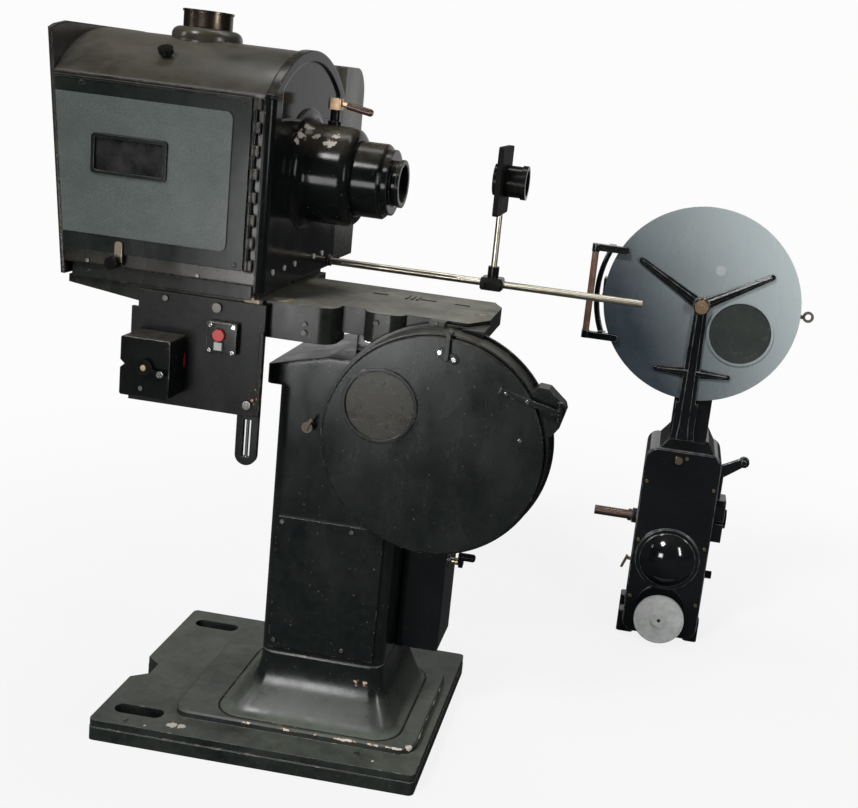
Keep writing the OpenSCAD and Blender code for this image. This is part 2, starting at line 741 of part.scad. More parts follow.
// Door of the lower magazine with its window ring, latch plate and sloping strap hinge
module lower_door() color([0.08, 0.10, 0.11]) difference() {
  union() {
    yc(mag_x, mag_z, mdoor_y + 2, mag_front - gap_c, door_r, $fn = 96);
    yc(mag_x, mag_z, mdoor_y, mdoor_y + 2, door_r - 2, door_r, $fn = 96);
    yc(win_x, win_z, mdoor_y - win_rise, mdoor_y + 1, win_r, $fn = 64);
    translate([lhinge_x, 0, lhinge_z - 6]) rotate([0, strap_a, 0]) {
      bx(-126, -8, mdoor_y - 3, mdoor_y + 1, -6, 6);
      bx(-34, 0, mdoor_y - 3, mdoor_y + 4, -5, 5);
      for (x = [-112, -67]) nscrew(x, 0, mdoor_y - 3, 4);
    }
    zc(lhinge_x, mdoor_y + 6, lhinge_z - 13, lhinge_z + 3, 6.5, $fn = 32);
    nscrew(mag_x + 177, mag_z + 42, mdoor_y, 4);
    translate([llatch_x, 0, llatch_z]) rotate([0, 19, 0]) {
      ry(-25, 25, mdoor_y - 3, mdoor_y + 1, -9, 9, 8);
      for (x = [-16, 16]) yc(x, 0, mdoor_y - 6, mdoor_y - 2, 5, $fn = 24);
    }
  }
  difference() {
    yc(mag_x, mag_z, mdoor_y + 5, mag_front, door_r - 6, $fn = 96);
    yc(win_x, win_z, mdoor_y, mag_front + cut, win_r, $fn = 64);
    yc(llatch_x, llatch_z, mdoor_y, mag_front + cut, 9);
  }
  yc(llatch_x, llatch_z, mdoor_y - 4, mdoor_y + 9, 3 + run_c, $fn = 32);
  yc(win_x, win_z, mdoor_y - win_rise - cut, mdoor_y + 4, win_r - win_ring, $fn = 64);
  yc(win_x, win_z, mdoor_y - cut, mag_front + cut, win_r - win_ring - 6, $fn = 64);
  zc(lhinge_x, mdoor_y + 6, lhinge_z - 16, lhinge_z + 8, 3 + run_c, $fn = 32);
}
strap_a = 14;

// Glass of the lower window
module lower_glass() color([0.25, 0.22, 0.18])
  yc(win_x, win_z, mdoor_y + 4 - glass_t, mdoor_y + 4, win_r - win_ring - key_c, $fn = 64);

// Turn latch pivoted on the lower door, reaching over the shell's keeper boss
module lower_latch() color([0.12, 0.13, 0.14]) {
  yc(llatch_x, llatch_z, mdoor_y - 8, mdoor_y + 8, 3, $fn = 32);
  ry(llatch_x - 5, llatch_x + 5, mdoor_y - 10, mdoor_y - 6 - gap_c, llatch_z - 10, keep_z + 8, 4.5);
}

// Spindle of the lower magazine with its core flange and take-up pulley
module lower_spindle() color([0.6, 0.6, 0.58]) {
  yc(mag_x, mag_z, mag_front + 4, mag_back + 22, spin_r);
  yc(mag_x, mag_z, mag_front + 34, mag_front + 40, 26);
  difference() {
    yc(mag_x, mag_z, mag_back + 4, mag_back + 20, pulley_r);
    rotate_extrude_y(mag_x, mag_z, mag_back + 12) translate([pulley_r + 1, 0]) circle(5, $fn = 24);
  }
}
// Turns an outline about an axis along Y
module rotate_extrude_y(x, z, y) translate([x, y, z]) rotate([90, 0, 0]) rotate_extrude($fn = 64)
  children();

// Cast bed with hanging lobes, slide rail and the tilt lug
module bed() color([0.12, 0.13, 0.12]) difference() {
  union() {
    xz(-bed_y, bed_y) polygon([[bed_x0, bed_z], [bed_x0, bed_z - bed_tail], [bed_x0 + 170, bed_low],
      [bed_mid, bed_low], [bed_mid, bed_z]]);
    translate([0, 0, bed_low]) linear_extrude(bed_t) bed_plan();
    rb(bed_mid - 30, lobe_x, -lobe_a, -bed_near + 60, bed_z - lobe_h, bed_z, 34);
    rb(lobe_x2, lobe_x3, -lobe_b, -bed_near + 60, bed_z - lobe_h + 14, bed_z, 28);
    bx(bed_mid, lobe_x3, -bed_near, -bed_near + 20, bed_z - lobe_h + 20, bed_z);
    bx(lamp_x0 + 16, lamp_x1 - 20, -rail_w / 2, rail_w / 2, bed_z - 1, bed_z + rail_h);
    yc(piv_x, piv_z, -lug_y, lug_y, cheek_r - 2);
    bx(piv_x - cheek_r + 2, piv_x + cheek_r - 2, -lug_y, lug_y, piv_z, bed_low + 2);
    yc(piv_x, piv_z, -cheek_y0 - cheek_t, cheek_y0 + cheek_t, piv_r);
    for (x = [48, 60, 72]) bx(piv_x + x, piv_x + x + 4, 20, 60, bed_z - 1, bed_z + 3);
  }
  bx(bed_x0 + 190, -90, -bed_y + 15, bed_y - 15, bed_low - cut, bed_z - 15);
  bx(piv_x + 60, bed_x1 - 40, -bed_near + 36, bed_far - 15, bed_low - cut, bed_z - 15);
  for (x = [-12, 96, 172]) bx(piv_x + x - 17, piv_x + x + 17, 34, 46, bed_z - 20, bed_z + cut);
  yc(mag_x, mag_z, mag_front - 20, mag_back + gap_c, mag_r + 2 * gap_c, $fn = 96);
}

// Fixed screws and bolts of the bed, its switch gear and the magazine's straps
module bed_screws() color([0.78, 0.78, 0.75]) {
  yc(lobe_x - 60, bed_z - 56, -lobe_a - 4, -lobe_a, 6, $fn = 24);
  yc(lobe_x - 60, bed_z - 38, -lobe_a - 4, -lobe_a, 5, $fn = 24);
  yc(lobe_x2 + 30, bed_z - 20, -lobe_b - 4, -lobe_b, 6, $fn = 24);
  yc(piv_x, piv_z, -cheek_y0 - cheek_t - 24, -cheek_y0 - cheek_t, piv_r - 3, $fn = 32);
  yc(mag_x - 26, bed_z - 4, lug_y0 - 3, lug_y0, 3, $fn = 24);
  yc(sw_x1 - 101, bed_z - 25, plate_y - 6, plate_y, 10, $fn = 24);
  yc(sw_x1 - 210, bed_z - 20, plate_y - 5, plate_y, 6, $fn = 24);
  for (x = [but_x0 + 7, but_x0 + but_l - 7], z = [but_z0 + 7, but_z0 + but_h - 7])
    yc(x, z, but_y - 3, but_y, 4.5, $fn = 20);
  yc(rot_cx - 9, rot_z0 + 18, rot_y - 3, rot_y, 5, $fn = 20);
}

// Switch plate hung on the bed's near edge
module switch_plate() color([0.09, 0.11, 0.11]) difference() {
  union() {
    bx(sw_x0 + 14, sw_x1, plate_y, -bed_y, sw_z, bed_z - 8);
    bx(sw_x0, sw_x1, plate_y, -bed_y, sw_z, bed_z - 46);
    bx(sw_x1 - 8, sw_x1, plate_y - 5, plate_y + 1, sw_z + 4, bed_z - 62);
  }
  yc(bar_x, sw_z + 24, plate_y - cut, -bed_y + cut, 5 + run_c);
}

// Box of the rotary switch, notched on its rear side
module switch_box() color([0.07, 0.08, 0.09]) difference() {
  ry(rot_x0, rot_x0 + rot_l, rot_y, plate_y, rot_z0, rot_z0 + rot_h, 5);
  xz(rot_y - cut, plate_y - 8) polygon([[rot_x0 - cut, rot_cz - 9], [rot_x0 + 9, rot_cz],
    [rot_x0 - cut, rot_cz + 9]]);
  bx(rot_x0 + 12, rot_x0 + rot_l - 6, rot_y + 6, plate_y + cut, rot_z0 + 6, rot_z0 + rot_h - 6);
  yc(rot_cx, rot_cz, rot_y - cut, rot_y + 6 + cut, 6 + run_c);
}

// Rotary switch: brass hub with a chromed pointer lever
module switch_knob() color([0.7, 0.55, 0.3]) {
  yc(rot_cx, rot_cz, rot_y - 14, rot_y + 20, 6);
  yc(rot_cx, rot_cz, rot_y - 10, rot_y - gap_c, 16);
  translate([rot_cx, rot_y - 13, rot_cz]) rotate([0, 14, 0]) {
    bx(0, 34, 0, 5, -4, 4);
    yc(36, 0, -2, 6, 7, $fn = 24);
  }
}

// Box of the two push buttons
module button_box() color([0.09, 0.10, 0.11]) difference() {
  ry(but_x0, but_x0 + but_l, but_y, plate_y, but_z0, but_z0 + but_h, 4);
  bx(but_x0 + 5, but_x0 + but_l - 5, but_y + 4, plate_y + cut, but_z0 + 12, but_z0 + but_h - 12);
  yc(but_x0 + but_l / 2 - 5, but_z0 + 40, but_y - cut, plate_y, red_r + run_c);
  bx(but_x0 + but_l / 2 - 5 - grey_s / 2 - key_c, but_x0 + but_l / 2 - 5 + grey_s / 2 + key_c,
    but_y - cut, plate_y, but_z0 + 17 - grey_s / 2 - key_c, but_z0 + 17 + grey_s / 2 + key_c);
}

// Red push button
module red_button() color([0.7, 0.05, 0.05])
  yc(but_x0 + but_l / 2 - 5, but_z0 + 40, but_y - but_travel - 2, plate_y - but_travel - key_c, red_r);

// Grey square push button
module grey_button() color([0.5, 0.52, 0.5])
  bx(but_x0 + but_l / 2 - 5 - grey_s / 2, but_x0 + but_l / 2 - 5 + grey_s / 2,
    but_y - but_travel - 1, plate_y - but_travel - key_c, but_z0 + 17 - grey_s / 2,
    but_z0 + 17 + grey_s / 2);

// Slotted bar hanging from a pin behind the switch plate, with a thin rod in its slot
module slotted_bar() color([0.10, 0.10, 0.11]) {
  difference() {
    union() {
      bx(bar_x - bar_w / 2, bar_x + bar_w / 2, -bed_y + gap_c, -bed_y + gap_c + bar_t,
        bar_z + bar_w / 2, sw_z + 24);
      for (z = [bar_z + bar_w / 2, sw_z + 24]) yc(bar_x, z, -bed_y + gap_c,
        -bed_y + gap_c + bar_t, bar_w / 2);
      yc(bar_x, sw_z + 24, plate_y - 4, -bed_y + gap_c + 1, 5);
      yc(bar_x, sw_z + 24, plate_y - 6, plate_y - gap_c, 9);
    }
    bx(bar_x - 8, bar_x + 8, -bed_y + gap_c - cut, -bed_y + bar_t + 2, bar_z + 18, sw_z - 10);
  }
  zc(bar_x, -bed_y + gap_c + bar_t / 2, bar_z + 16, sw_z - 8, 3.5, $fn = 32);
}

// Slide under the lamphouse, grooved for the bed's rail
module slide_base() color([0.11, 0.12, 0.12]) difference() {
  rb(lamp_x0 + 6, lamp_x1 - 2, -lamp_y + 10, lamp_y - 10, bed_z, slide_z, 10);
  bx(lamp_x0, lamp_x1, -rail_w / 2 - gap_c, rail_w / 2 + gap_c, bed_z - cut, bed_z + rail_h + gap_c);
  bx(lamp_x0 + 40, lamp_x1 - 40, 60, lamp_y - 40, bed_z - cut, slide_z - 8);
  bx(lamp_x0 + 40, lamp_x1 - 40, -lamp_y + 40, -60, bed_z - cut, slide_z - 8);
}

// Place of the leaning rear plane along X at the height z
function rear_at(z) = lamp_x0 - lean * (z - bed_z) / (roof_z - bed_z);

// Everything behind the leaning rear plane, moved forward by d
module behind(d) xz(-lamp_w, lamp_w) polygon([[lamp_x0 - 3 * lean - 90, bed_z - 60],
  [rear_at(bed_z - 60) + d, bed_z - 60], [rear_at(roof_z + 60) + d, roof_z + 60],
  [lamp_x0 - 3 * lean - 90, roof_z + 60]]);

// Cross section of the lamphouse, grown by the distance o
module lamp_outline(o) {
  translate([-lamp_y - o, slide_z - o]) square([lamp_w + 2 * o, wall_h + o]);
  intersection() {
    translate([0, arch_z]) circle(arch_r + o, $fn = 160);
    translate([-lamp_y - o, eave_z - 1]) square([lamp_w + 2 * o, arch_rise + 20]);
  }
}

// Sheet body of the lamphouse with arched roof, far side housing and chimney collar
module lamp_body() color([0.13, 0.13, 0.12]) difference() {
  union() {
    difference() {
      yz(lamp_x0 - lean - 20, lamp_x1) lamp_outline(0);
      behind(0);
    }
    bx(pod_x0, lamp_x1 + 16, lamp_y - 1, lamp_y + pod_w, slide_z - 6, roof_z - 20 - pod_r);
    bx(pod_x0, lamp_x1 + 16, lamp_y - 1, lamp_y + pod_w - pod_r, slide_z - 6, roof_z - 20);
    xc(lamp_y + pod_w - pod_r, roof_z - 20 - pod_r, pod_x0, lamp_x1 + 16, pod_r, $fn = 96);
    zc(chim_x, 0, roof_z - 30, roof_z + 4, chim_collar, $fn = 64);
    zc(chim_x, 0, roof_z, roof_z + 22, chim_collar - 18, $fn = 64);
    translate([chim_x, 0, roof_z + 4]) rotate_extrude($fn = 64) translate([chim_collar - 18, 0])
      circle(18, $fn = 48);
    for (i = [0:2:hinge_n - 1]) {
      zc(hinge_x, hinge_y, door_z0 + i * knuckle, door_z0 + (i + 1) * knuckle, hinge_r, $fn = 32);
      bx(hinge_x - 1, hinge_x + 12, hinge_y - 2, -lamp_y + 1, door_z0 + i * knuckle,
        door_z0 + (i + 1) * knuckle);
    }
    zc(hinge_x, hinge_y, door_z0, door_z1, 2, $fn = 24);
    yc(latch_x, latch_z, door_face, -lamp_y + 1, 8);
  }
  yz(lamp_x0 - lean - 21, lamp_x1 + cut) lamp_outline(-sheet);
  bx(pod_x0 + sheet, lamp_x1 + 16 - sheet, lamp_y - sheet - cut, lamp_y + pod_w - sheet,
    slide_z + 6, eave_z - 10);
  bx(pod_x0 + sheet, lamp_x1 + 16 - sheet, lamp_y + sheet, lamp_y + pod_w - sheet,
    slide_z + 6, roof_z - 20 - pod_r);
  bx(lamp_x1, lamp_x1 + 40, -lamp_y - cut, lamp_y + 6 + gap_c, slide_z - 20, roof_z + 20);
  bx(door_x0 + 16, door_x1 - 16, -lamp_y - cut, -lamp_y + sheet + cut, door_z0 + 16, door_z1 - 16);
  zc(chim_x, 0, roof_z - 60, roof_z + 60, chim_r - chim_wall);
  translate([rknob_x, 0, arch_z]) rotate([asin(rknob_y / arch_r), 0, 0])
    zc(0, 0, arch_r - 20, arch_r + 20, 4 + run_c, $fn = 32);
}

// Leaning rear plate of the lamphouse, chamfered at its upper corners
module rear_plate() color([0.11, 0.12, 0.12]) intersection() {
  yz(lamp_x0 - lean - 2 * rear_t, lamp_x0 + rear_t) polygon([[-lamp_y, bed_z + 4],
    [-rail_w / 2 - gap_c, bed_z + 4], [-rail_w / 2 - gap_c, bed_z + rail_h + gap_c],
    [rail_w / 2 + gap_c, bed_z + rail_h + gap_c], [rail_w / 2 + gap_c, bed_z + 4],
    [lamp_y, bed_z + 4], [lamp_y, roof_z + 2 - rear_c], [lamp_y - 1.3 * rear_c, roof_z + 2 - rear_c / 2],
    [lamp_y - 4 * rear_c, roof_z + 2], [-lamp_y + 4 * rear_c, roof_z + 2],
    [-lamp_y + 1.3 * rear_c, roof_z + 2 - rear_c / 2], [-lamp_y, roof_z + 2 - rear_c]]);
  xz(-lamp_y - cut, lamp_y + cut) polygon([[rear_at(bed_z) - rear_t, bed_z], [rear_at(bed_z), bed_z],
    [rear_at(roof_z + 10), roof_z + 10], [rear_at(roof_z + 10) - rear_t, roof_z + 10]]);
}

// Front casting of the lamphouse with its rounded near edge, the nose and the rod's boss
module front_casting() color([0.06, 0.07, 0.08]) difference() {
  union() {
    yz(lamp_x1, front_x) union() {
      translate([-lamp_y + 12, slide_z - 12]) square([lamp_w - 6, wall_h + 12]);
      intersection() {
        translate([0, arch_z]) circle(arch_r + 5, $fn = 160);
        translate([-lamp_y - 4, eave_z - 4]) square([lamp_w + 10, arch_rise + 30]);
      }
    }
    intersection() {
      zc(lamp_x1, -lamp_y + 12, slide_z - 12, eave_z + 2, front_t);
      bx(lamp_x1, front_x + 1, -lamp_y - 20, 0, slide_z - 20, eave_z + 20);
    }
    xc(0, axis_z, front_x - 2, nose_x - nose_round, nose_r, $fn = 96);
    xc(0, axis_z, front_x - 2, nose_x, nose_r - nose_round, $fn = 96);
    translate([nose_x - nose_round, 0, axis_z]) rotate([0, 90, 0]) rotate_extrude($fn = 96)
      translate([nose_r - nose_round, 0]) circle(nose_round, $fn = 40);
    translate([front_x - 1, 0, axis_z]) rotate([0, 90, 0]) rotate_extrude($fn = 96) difference() {
      translate([nose_r - 4, 0]) square([nose_root + 4, nose_root + 1]);
      translate([nose_r + nose_root, nose_root + 1]) circle(nose_root, $fn = 96);
    }
    zc(dow_x, 0, axis_z + nose_r - 8, axis_z + nose_r + 8, 14);
    zc(dow_x, 0, axis_z + nose_r + 7, dow_z, 10);
    xc(rod_y, rod_z, front_x - 2, front_x + boss_l, boss_r);
  }
  xc(0, axis_z, lamp_x1 - cut, nose_x - 12, nose_r - nose_wall, $fn = 96);
  xc(0, axis_z, lamp_x1 - cut, nose_x + cut, tube_r - tube_wall, $fn = 96);
  yz(front_x - 5, front_x + cut) difference() {
    intersection() {
      translate([0, arch_z]) circle(arch_r - 18, $fn = 160);
      translate([-lamp_y + 44, eave_z - 44]) square([lamp_w - 80, arch_rise + 60]);
    }
    translate([0, axis_z]) circle(nose_r + nose_root + 2, $fn = 96);
  }
  zc(dow_x, 0, axis_z, dow_z + cut, dow_r + run_c);
  zc(dow_x, 0, axis_z - nose_r + 4, axis_z, dow_r + run_c);
}

// Stepped tube in front of the nose with its collar and end ring
module nose_tube() color([0.07, 0.08, 0.08]) difference() {
  union() {
    xc(0, axis_z, nose_x, tube_x - 5, tube_r, $fn = 96);
    xc(0, axis_z, tube_x - 5, tube_x, tube_r, tube_r - 4, $fn = 96);
    xc(0, axis_z, tube_x - 1, collar_x, collar_r, $fn = 96);
    xc(0, axis_z, collar_x - 1, collar_x + ring_l, ring_r, $fn = 96);
    xc(0, axis_z, collar_x + ring_l - 6, collar_x + ring_l, ring_r + 3, $fn = 96);
  }
  xc(0, axis_z, nose_x - cut, tube_x - 8, tube_r - tube_wall, $fn = 96);
  xc(0, axis_z, nose_x, collar_x + ring_l + cut, ring_r - tube_wall, $fn = 96);
}

// Condenser lens, flat side against the shoulder of the tube
module condenser() color([0.45, 0.5, 0.5]) intersection() {
  xc(0, axis_z, tube_x - 32, tube_x - 8, tube_r - tube_wall - key_c, $fn = 96);
  translate([tube_x - 32 + 120, 0, axis_z]) sphere(120, $fn = 96);
}

// Hinged door of the lamphouse with its window frame
module lamp_door() color([0.09, 0.10, 0.10]) difference() {
  union() {
    ry(door_x0 - lean, door_x1, door_face, door_y, door_z0, door_z1, 4);
    ry(dwin_x0, dwin_x0 + dwin_l, door_face - panel_t - 5, door_face + 1, dwin_z0,
      dwin_z0 + dwin_h, 7);
    for (i = [1:2:hinge_n - 2]) {
      zc(hinge_x, hinge_y, door_z0 + i * knuckle + gap_c, door_z0 + (i + 1) * knuckle - gap_c,
        hinge_r, $fn = 32);
      bx(door_x1 - 1, hinge_x, hinge_y - 2, hinge_y + 2, door_z0 + i * knuckle + gap_c,
        door_z0 + (i + 1) * knuckle - gap_c);
    }
    for (p = [[door_x1 - 17, door_z1 - 14], [door_x1 - 17, door_z0 + 11], [door_x0 + 24, door_z1 - 12]])
      nscrew(p[0], p[1], door_face, 5);
    bx(door_x0 - lean, door_x1, door_face - 3, door_face + 1, door_z1 - 5, door_z1);
  }
  behind(6);
  ry(dwin_x0 + dwin_rim, dwin_x0 + dwin_l - dwin_rim, door_face - panel_t - 6, door_face + 2,
    dwin_z0 + dwin_rim, dwin_z0 + dwin_h - dwin_rim, 4);
  ry(dwin_x0 + dwin_rim + 4, dwin_x0 + dwin_l - dwin_rim - 4, door_face - cut, door_y + cut,
    dwin_z0 + dwin_rim + 4, dwin_z0 + dwin_h - dwin_rim - 4, 3);
  zc(hinge_x, hinge_y, door_z0 - cut, door_z1 + cut, 2 + run_c, $fn = 24);
  yc(latch_x + 7, latch_z + latch_up, door_face - cut, door_face + 8, 4 + run_c, $fn = 32);
}

// Painted inner panel on the lamphouse door
module door_panel() color([0.28, 0.33, 0.31]) difference() {
  ry(door_x0 - lean - 20, door_x1 - 35, door_face - panel_t, door_face, door_z0 + 34, door_z1 - 32,
    panel_r);
  behind(8);
  ry(dwin_x0 - key_c, dwin_x0 + dwin_l + key_c, door_face - panel_t - cut, door_face + cut,
    dwin_z0 - key_c, dwin_z0 + dwin_h + key_c, 7);
}

// Dark glass of the lamphouse door
module window_glass() color([0.12, 0.10, 0.08])
  ry(dwin_x0 + dwin_rim + key_c, dwin_x0 + dwin_l - dwin_rim - key_c, door_face + 2 - glass_t, door_face + 2,
    dwin_z0 + dwin_rim + key_c, dwin_z0 + dwin_h - dwin_rim - key_c, 4);

// Turn latch pivoted on the lamphouse door, its knob in front of the body's keeper stud
module door_latch() color([0.5, 0.48, 0.42]) {
  yc(latch_x + 7, latch_z + latch_up, door_face - 5, door_face + 7, 4, $fn = 32);
  yc(latch_x, latch_z, door_face - 22, door_face - gap_c, 13);
  ry(latch_x - 1, latch_x + 15, door_face - 6, door_face - gap_c, latch_z - 6, latch_z + 42, 5);
}

// Knob on the lamphouse roof, square to the arch
module roof_knob() color([0.14, 0.10, 0.07])
  translate([rknob_x, 0, arch_z]) rotate([asin(rknob_y / arch_r), 0, 0]) {
    zc(0, 0, arch_r - sheet - 6, arch_r + 3, 4, $fn = 32);
    zc(0, 0, arch_r + 1, arch_r + 8, 9, 15, $fn = 32);
    zc(0, 0, arch_r + 8, arch_r + 18, 15, $fn = 32);
  }

// Chimney pipe standing in the collar
module chimney_pipe() color([0.30, 0.27, 0.22]) difference() {
  union() {
    zc(chim_x, 0, roof_z + 22, roof_z + 22 + chim_h, chim_r);
    zc(chim_x, 0, roof_z + 22 + chim_h - 5, roof_z + 22 + chim_h, chim_r + 2);
  }
  zc(chim_x, 0, roof_z + 22 - cut, roof_z + 22 + chim_h + cut, chim_r - chim_wall);
}

// Dowser: upright shaft with the blade in the nose and the clamp outside
module dowser_lever() color([0.65, 0.6, 0.5]) {
  zc(dow_x, 0, axis_z - nose_r + 4.5, dow_z + 4, dow_r);
  yc(dow_x, axis_z, -1.5, 1.5, blade_r, $fn = 64);
  rb(dow_x - 14, dow_x + 14, -12, 12, dow_z + gap_c, dow_z + 24, 5);
  translate([dow_x + 10, 0, dow_z + 14]) rotate([0, droop, 0]) xc(0, 0, 0, 16, 5);
}

// Grip of the dowser, drooping a little
module dowser_grip() color([0.35, 0.2, 0.12])
  translate([dow_x + 10, 0, dow_z + 14]) rotate([0, droop, 0]) {
    xc(0, 0, 16, 12 + dgrip_l, dgrip_r);
    xc(0, 0, 12 + dgrip_l, 16 + dgrip_l, dgrip_r, dgrip_r - 3);
  }

// Concave mirror behind the arc
module mirror() color([0.8, 0.8, 0.82]) intersection() {
  xc(0, axis_z, lamp_x0 + 14, lamp_x0 + 90, mirror_r, $fn = 96);
  difference() {
    translate([lamp_x0 + 26 + mirror_c, 0, axis_z]) sphere(mirror_c + 6, $fn = 128);
    translate([lamp_x0 + 26 + mirror_c, 0, axis_z]) sphere(mirror_c, $fn = 128);
  }
}

// Two carbons with the arc gap between them
module carbons() color([0.15, 0.15, 0.15]) {
  xc(0, axis_z, arc_x - arc_gap / 2 - carbon_a, arc_x - arc_gap / 2 - 12, carbon_r);
  xc(0, axis_z, arc_x - arc_gap / 2 - 12, arc_x - arc_gap / 2, carbon_r, 2);
  xc(0, axis_z, arc_x + arc_gap / 2, arc_x + arc_gap / 2 + 6, 3, carbon_r);
  xc(0, axis_z, arc_x + arc_gap / 2 + 6, arc_x + arc_gap / 2 + carbon_b, carbon_r);
}

// Lamp carriage with the mirror's post and the two carbon jaws
module lamp_carriage() color([0.35, 0.34, 0.32]) difference() {
  union() {
    bx(lamp_x0 + 8, arc_x + carriage_l, -34, 34, slide_z + sheet, slide_z + sheet + 16);
    bx(lamp_x0 + 8, lamp_x0 + 14, -20, 20, slide_z + sheet, axis_z + 24);
    xc(0, axis_z, lamp_x0 + 12, lamp_x0 + 30, 20);
    for (x = [arc_x - jaw_a, arc_x + jaw_b]) {
      bx(x - 8, x + 8, -9, 9, slide_z + sheet, axis_z - 10);
      bx(x - 12, x + 12, -14, 14, axis_z - 15, axis_z + 15);
    }
  }
  intersection() {
    translate([lamp_x0 + 26 + mirror_c, 0, axis_z]) sphere(mirror_c + 6 + key_c, $fn = 128);
    xc(0, axis_z, lamp_x0 + 14, lamp_x0 + 60, mirror_r, $fn = 96);
  }
  xc(0, axis_z, arc_x - jaw_a - 16, arc_x + jaw_b + 16, carbon_r + key_c);
}

// Rivets and screws of the lamphouse's front casting and body
module lamp_rivets() color([0.7, 0.68, 0.62]) {
  for (y = riv_y) xc(y, slide_z + 26, front_x, front_x + 3, 6, $fn = 20);
  for (x = [lamp_x0 + 48, lamp_x0 + 278]) yc(x, slide_z + 7, -lamp_y - 3, -lamp_y, 4, $fn = 20);
}

// Brass-coloured rod that carries the slide lens
module lens_rod() color([0.72, 0.6, 0.35]) xc(rod_y, rod_z, front_x + boss_l, rod_x1, rod_r);

// Cross clamp sliding on the rod
module rod_clamp() color([0.06, 0.06, 0.06]) difference() {
  union() {
    ry(clamp_x - 26, clamp_x + 26, rod_y - clamp_s / 2, rod_y + clamp_s / 2, rod_z - 15,
      rod_z + 15, 6);
    zc(clamp_x, rod_y, rod_z + 10, rod_z + 40, 13);
    for (x = [clamp_x - 18, clamp_x + 18]) yc(x, rod_z - 6, rod_y - clamp_s / 2 - 5, rod_y - clamp_s / 2 + 1,
      7, $fn = 24);
  }
  xc(rod_y, rod_z, clamp_x - 40, clamp_x + 40, rod_r + run_c);
  zc(clamp_x, rod_y, rod_z, rod_z + 40 + cut, post_r + run_c);
}

// Post of the lens board, sliding up and down in the clamp
module lens_post() color([0.72, 0.6, 0.35])
  zc(clamp_x, rod_y, rod_z + rod_r + 6, rod_z + post_h, post_r);

// Board of the slide lens
module lens_board() color([0.08, 0.08, 0.08]) difference() {
  rx(clamp_x - board_t / 2, clamp_x + board_t / 2, rod_y - board_w / 2, rod_y + board_w / 2,
    rod_z + post_h, rod_z + post_h + board_h, 8);
  xc(rod_y, slens_z, clamp_x - board_t, clamp_x + board_t, slens_r + run_c);
}

// Box with the four edges along X rounded
module rx(x0, x1, y0, y1, z0, z1, r) {
  bx(x0, x1, y0 + r, y1 - r, z0, z1);
  bx(x0, x1, y0, y1, z0 + r, z1 - r);
  for (y = [y0 + r, y1 - r], z = [z0 + r, z1 - r]) xc(y, z, x0, x1, r);
}

// Barrel of the slide lens
module slide_lens() color([0.12, 0.11, 0.10]) difference() {
  union() {
    xc(rod_y, slens_z, clamp_x - board_t / 2 - 14, slens_x1, slens_r);
    xc(rod_y, slens_z, slens_x1 - 12, slens_x1, slens_r + 3);
  }
  xc(rod_y, slens_z, slens_x1 - 12, slens_x1 + cut, slens_r - 6);
  xc(rod_y, slens_z, clamp_x - board_t / 2 - 15, clamp_x - board_t / 2 - 6, slens_r - 6);
}

// Hollow housing of the projector head with feet, shoulders and the film neck
module head_housing() color([0.08, 0.10, 0.11]) difference() {
  union() {
    ry(head_x0, head_x1, house_y, head_y1, head_z, shoulder_z, head_r);
    xz(house_y + 4, head_y1 - 4) polygon([[head_x0 + 6, shoulder_z - 34], [head_x0 + 62, shoulder_z + 36],
      [head_x1 - 46, shoulder_z + 36], [head_x1 - 4, shoulder_z - 34]]);
    difference() {
      rb(um_x - 34, um_x + 68, house_y + 2, um_back - 2, shoulder_z + 30, um_z - 180, 8);
      yc(um_x, um_z, house_y, um_back + cut, um_drum + key_c, $fn = 96);
    }
    for (y = [house_y + 14, head_y1 - 54]) {
      rb(head_x0 - 14, head_x0 + 34, y, y + 40, 0, 62, 10);
      rb(head_x1 - 34, head_x1 + 6, y, y + 40, 0, 62, 10);
    }
    xc(shaft_y, shaft_z, head_x0 - 14, head_x0 + 1, 21);
  }
  ry(head_x0 + head_wall, head_x1 - head_wall, house_y - cut, head_y1 - head_wall,
    head_z + head_wall, shoulder_z - head_wall, head_r - head_wall);
  xc(shaft_y, shaft_z, head_x0 - 15, head_x0 + head_wall + cut, shaft_r + run_c);
  xc(house_y + 34, frame_z, head_x0 - cut, head_x0 + head_wall + cut, 5 + run_c);
  xc(house_y + 64, fknob_z, head_x1 - head_wall - cut, head_x1 + cut, 6 + run_c);
  xc(shaft_y, lens_z, head_x1 - head_wall - cut, head_x1 + cut, plens_r - 5);
}

// Cover of the head with its dome and the handwheel's boss
module head_cover() color([0.07, 0.09, 0.10]) difference() {
  union() {
    ry(head_x0 + 2, head_x1 - 2, head_y, house_y, head_z, shoulder_z - 2, head_r);
    intersection() {
      translate([wheel_x, head_y - dome_h + dome_rs, dome_z]) sphere(dome_rs, $fn = 96);
      bx(head_x0, head_x1, head_y - dome_h - cut, head_y + 1, dome_z - 100, dome_z + 100);
    }
    yc(wheel_x, dome_z, head_y - 6, head_y + 1, dome_r + 7, dome_r + 9, $fn = 96);
    yc(wheel_x, wheel_z, head_y - 8, head_y + 1, 20);
  }
  intersection() {
    translate([wheel_x, head_y - dome_h + dome_rs, dome_z]) sphere(dome_rs - 5, $fn = 96);
    bx(head_x0, head_x1, head_y - dome_h, house_y + cut, dome_z - 90, dome_z + 90);
  }
  yc(wheel_x, wheel_z, head_y - 9, house_y + cut, 8 + run_c);
}
dome_rs = (dome_r * dome_r + dome_h * dome_h) / (2 * dome_h);

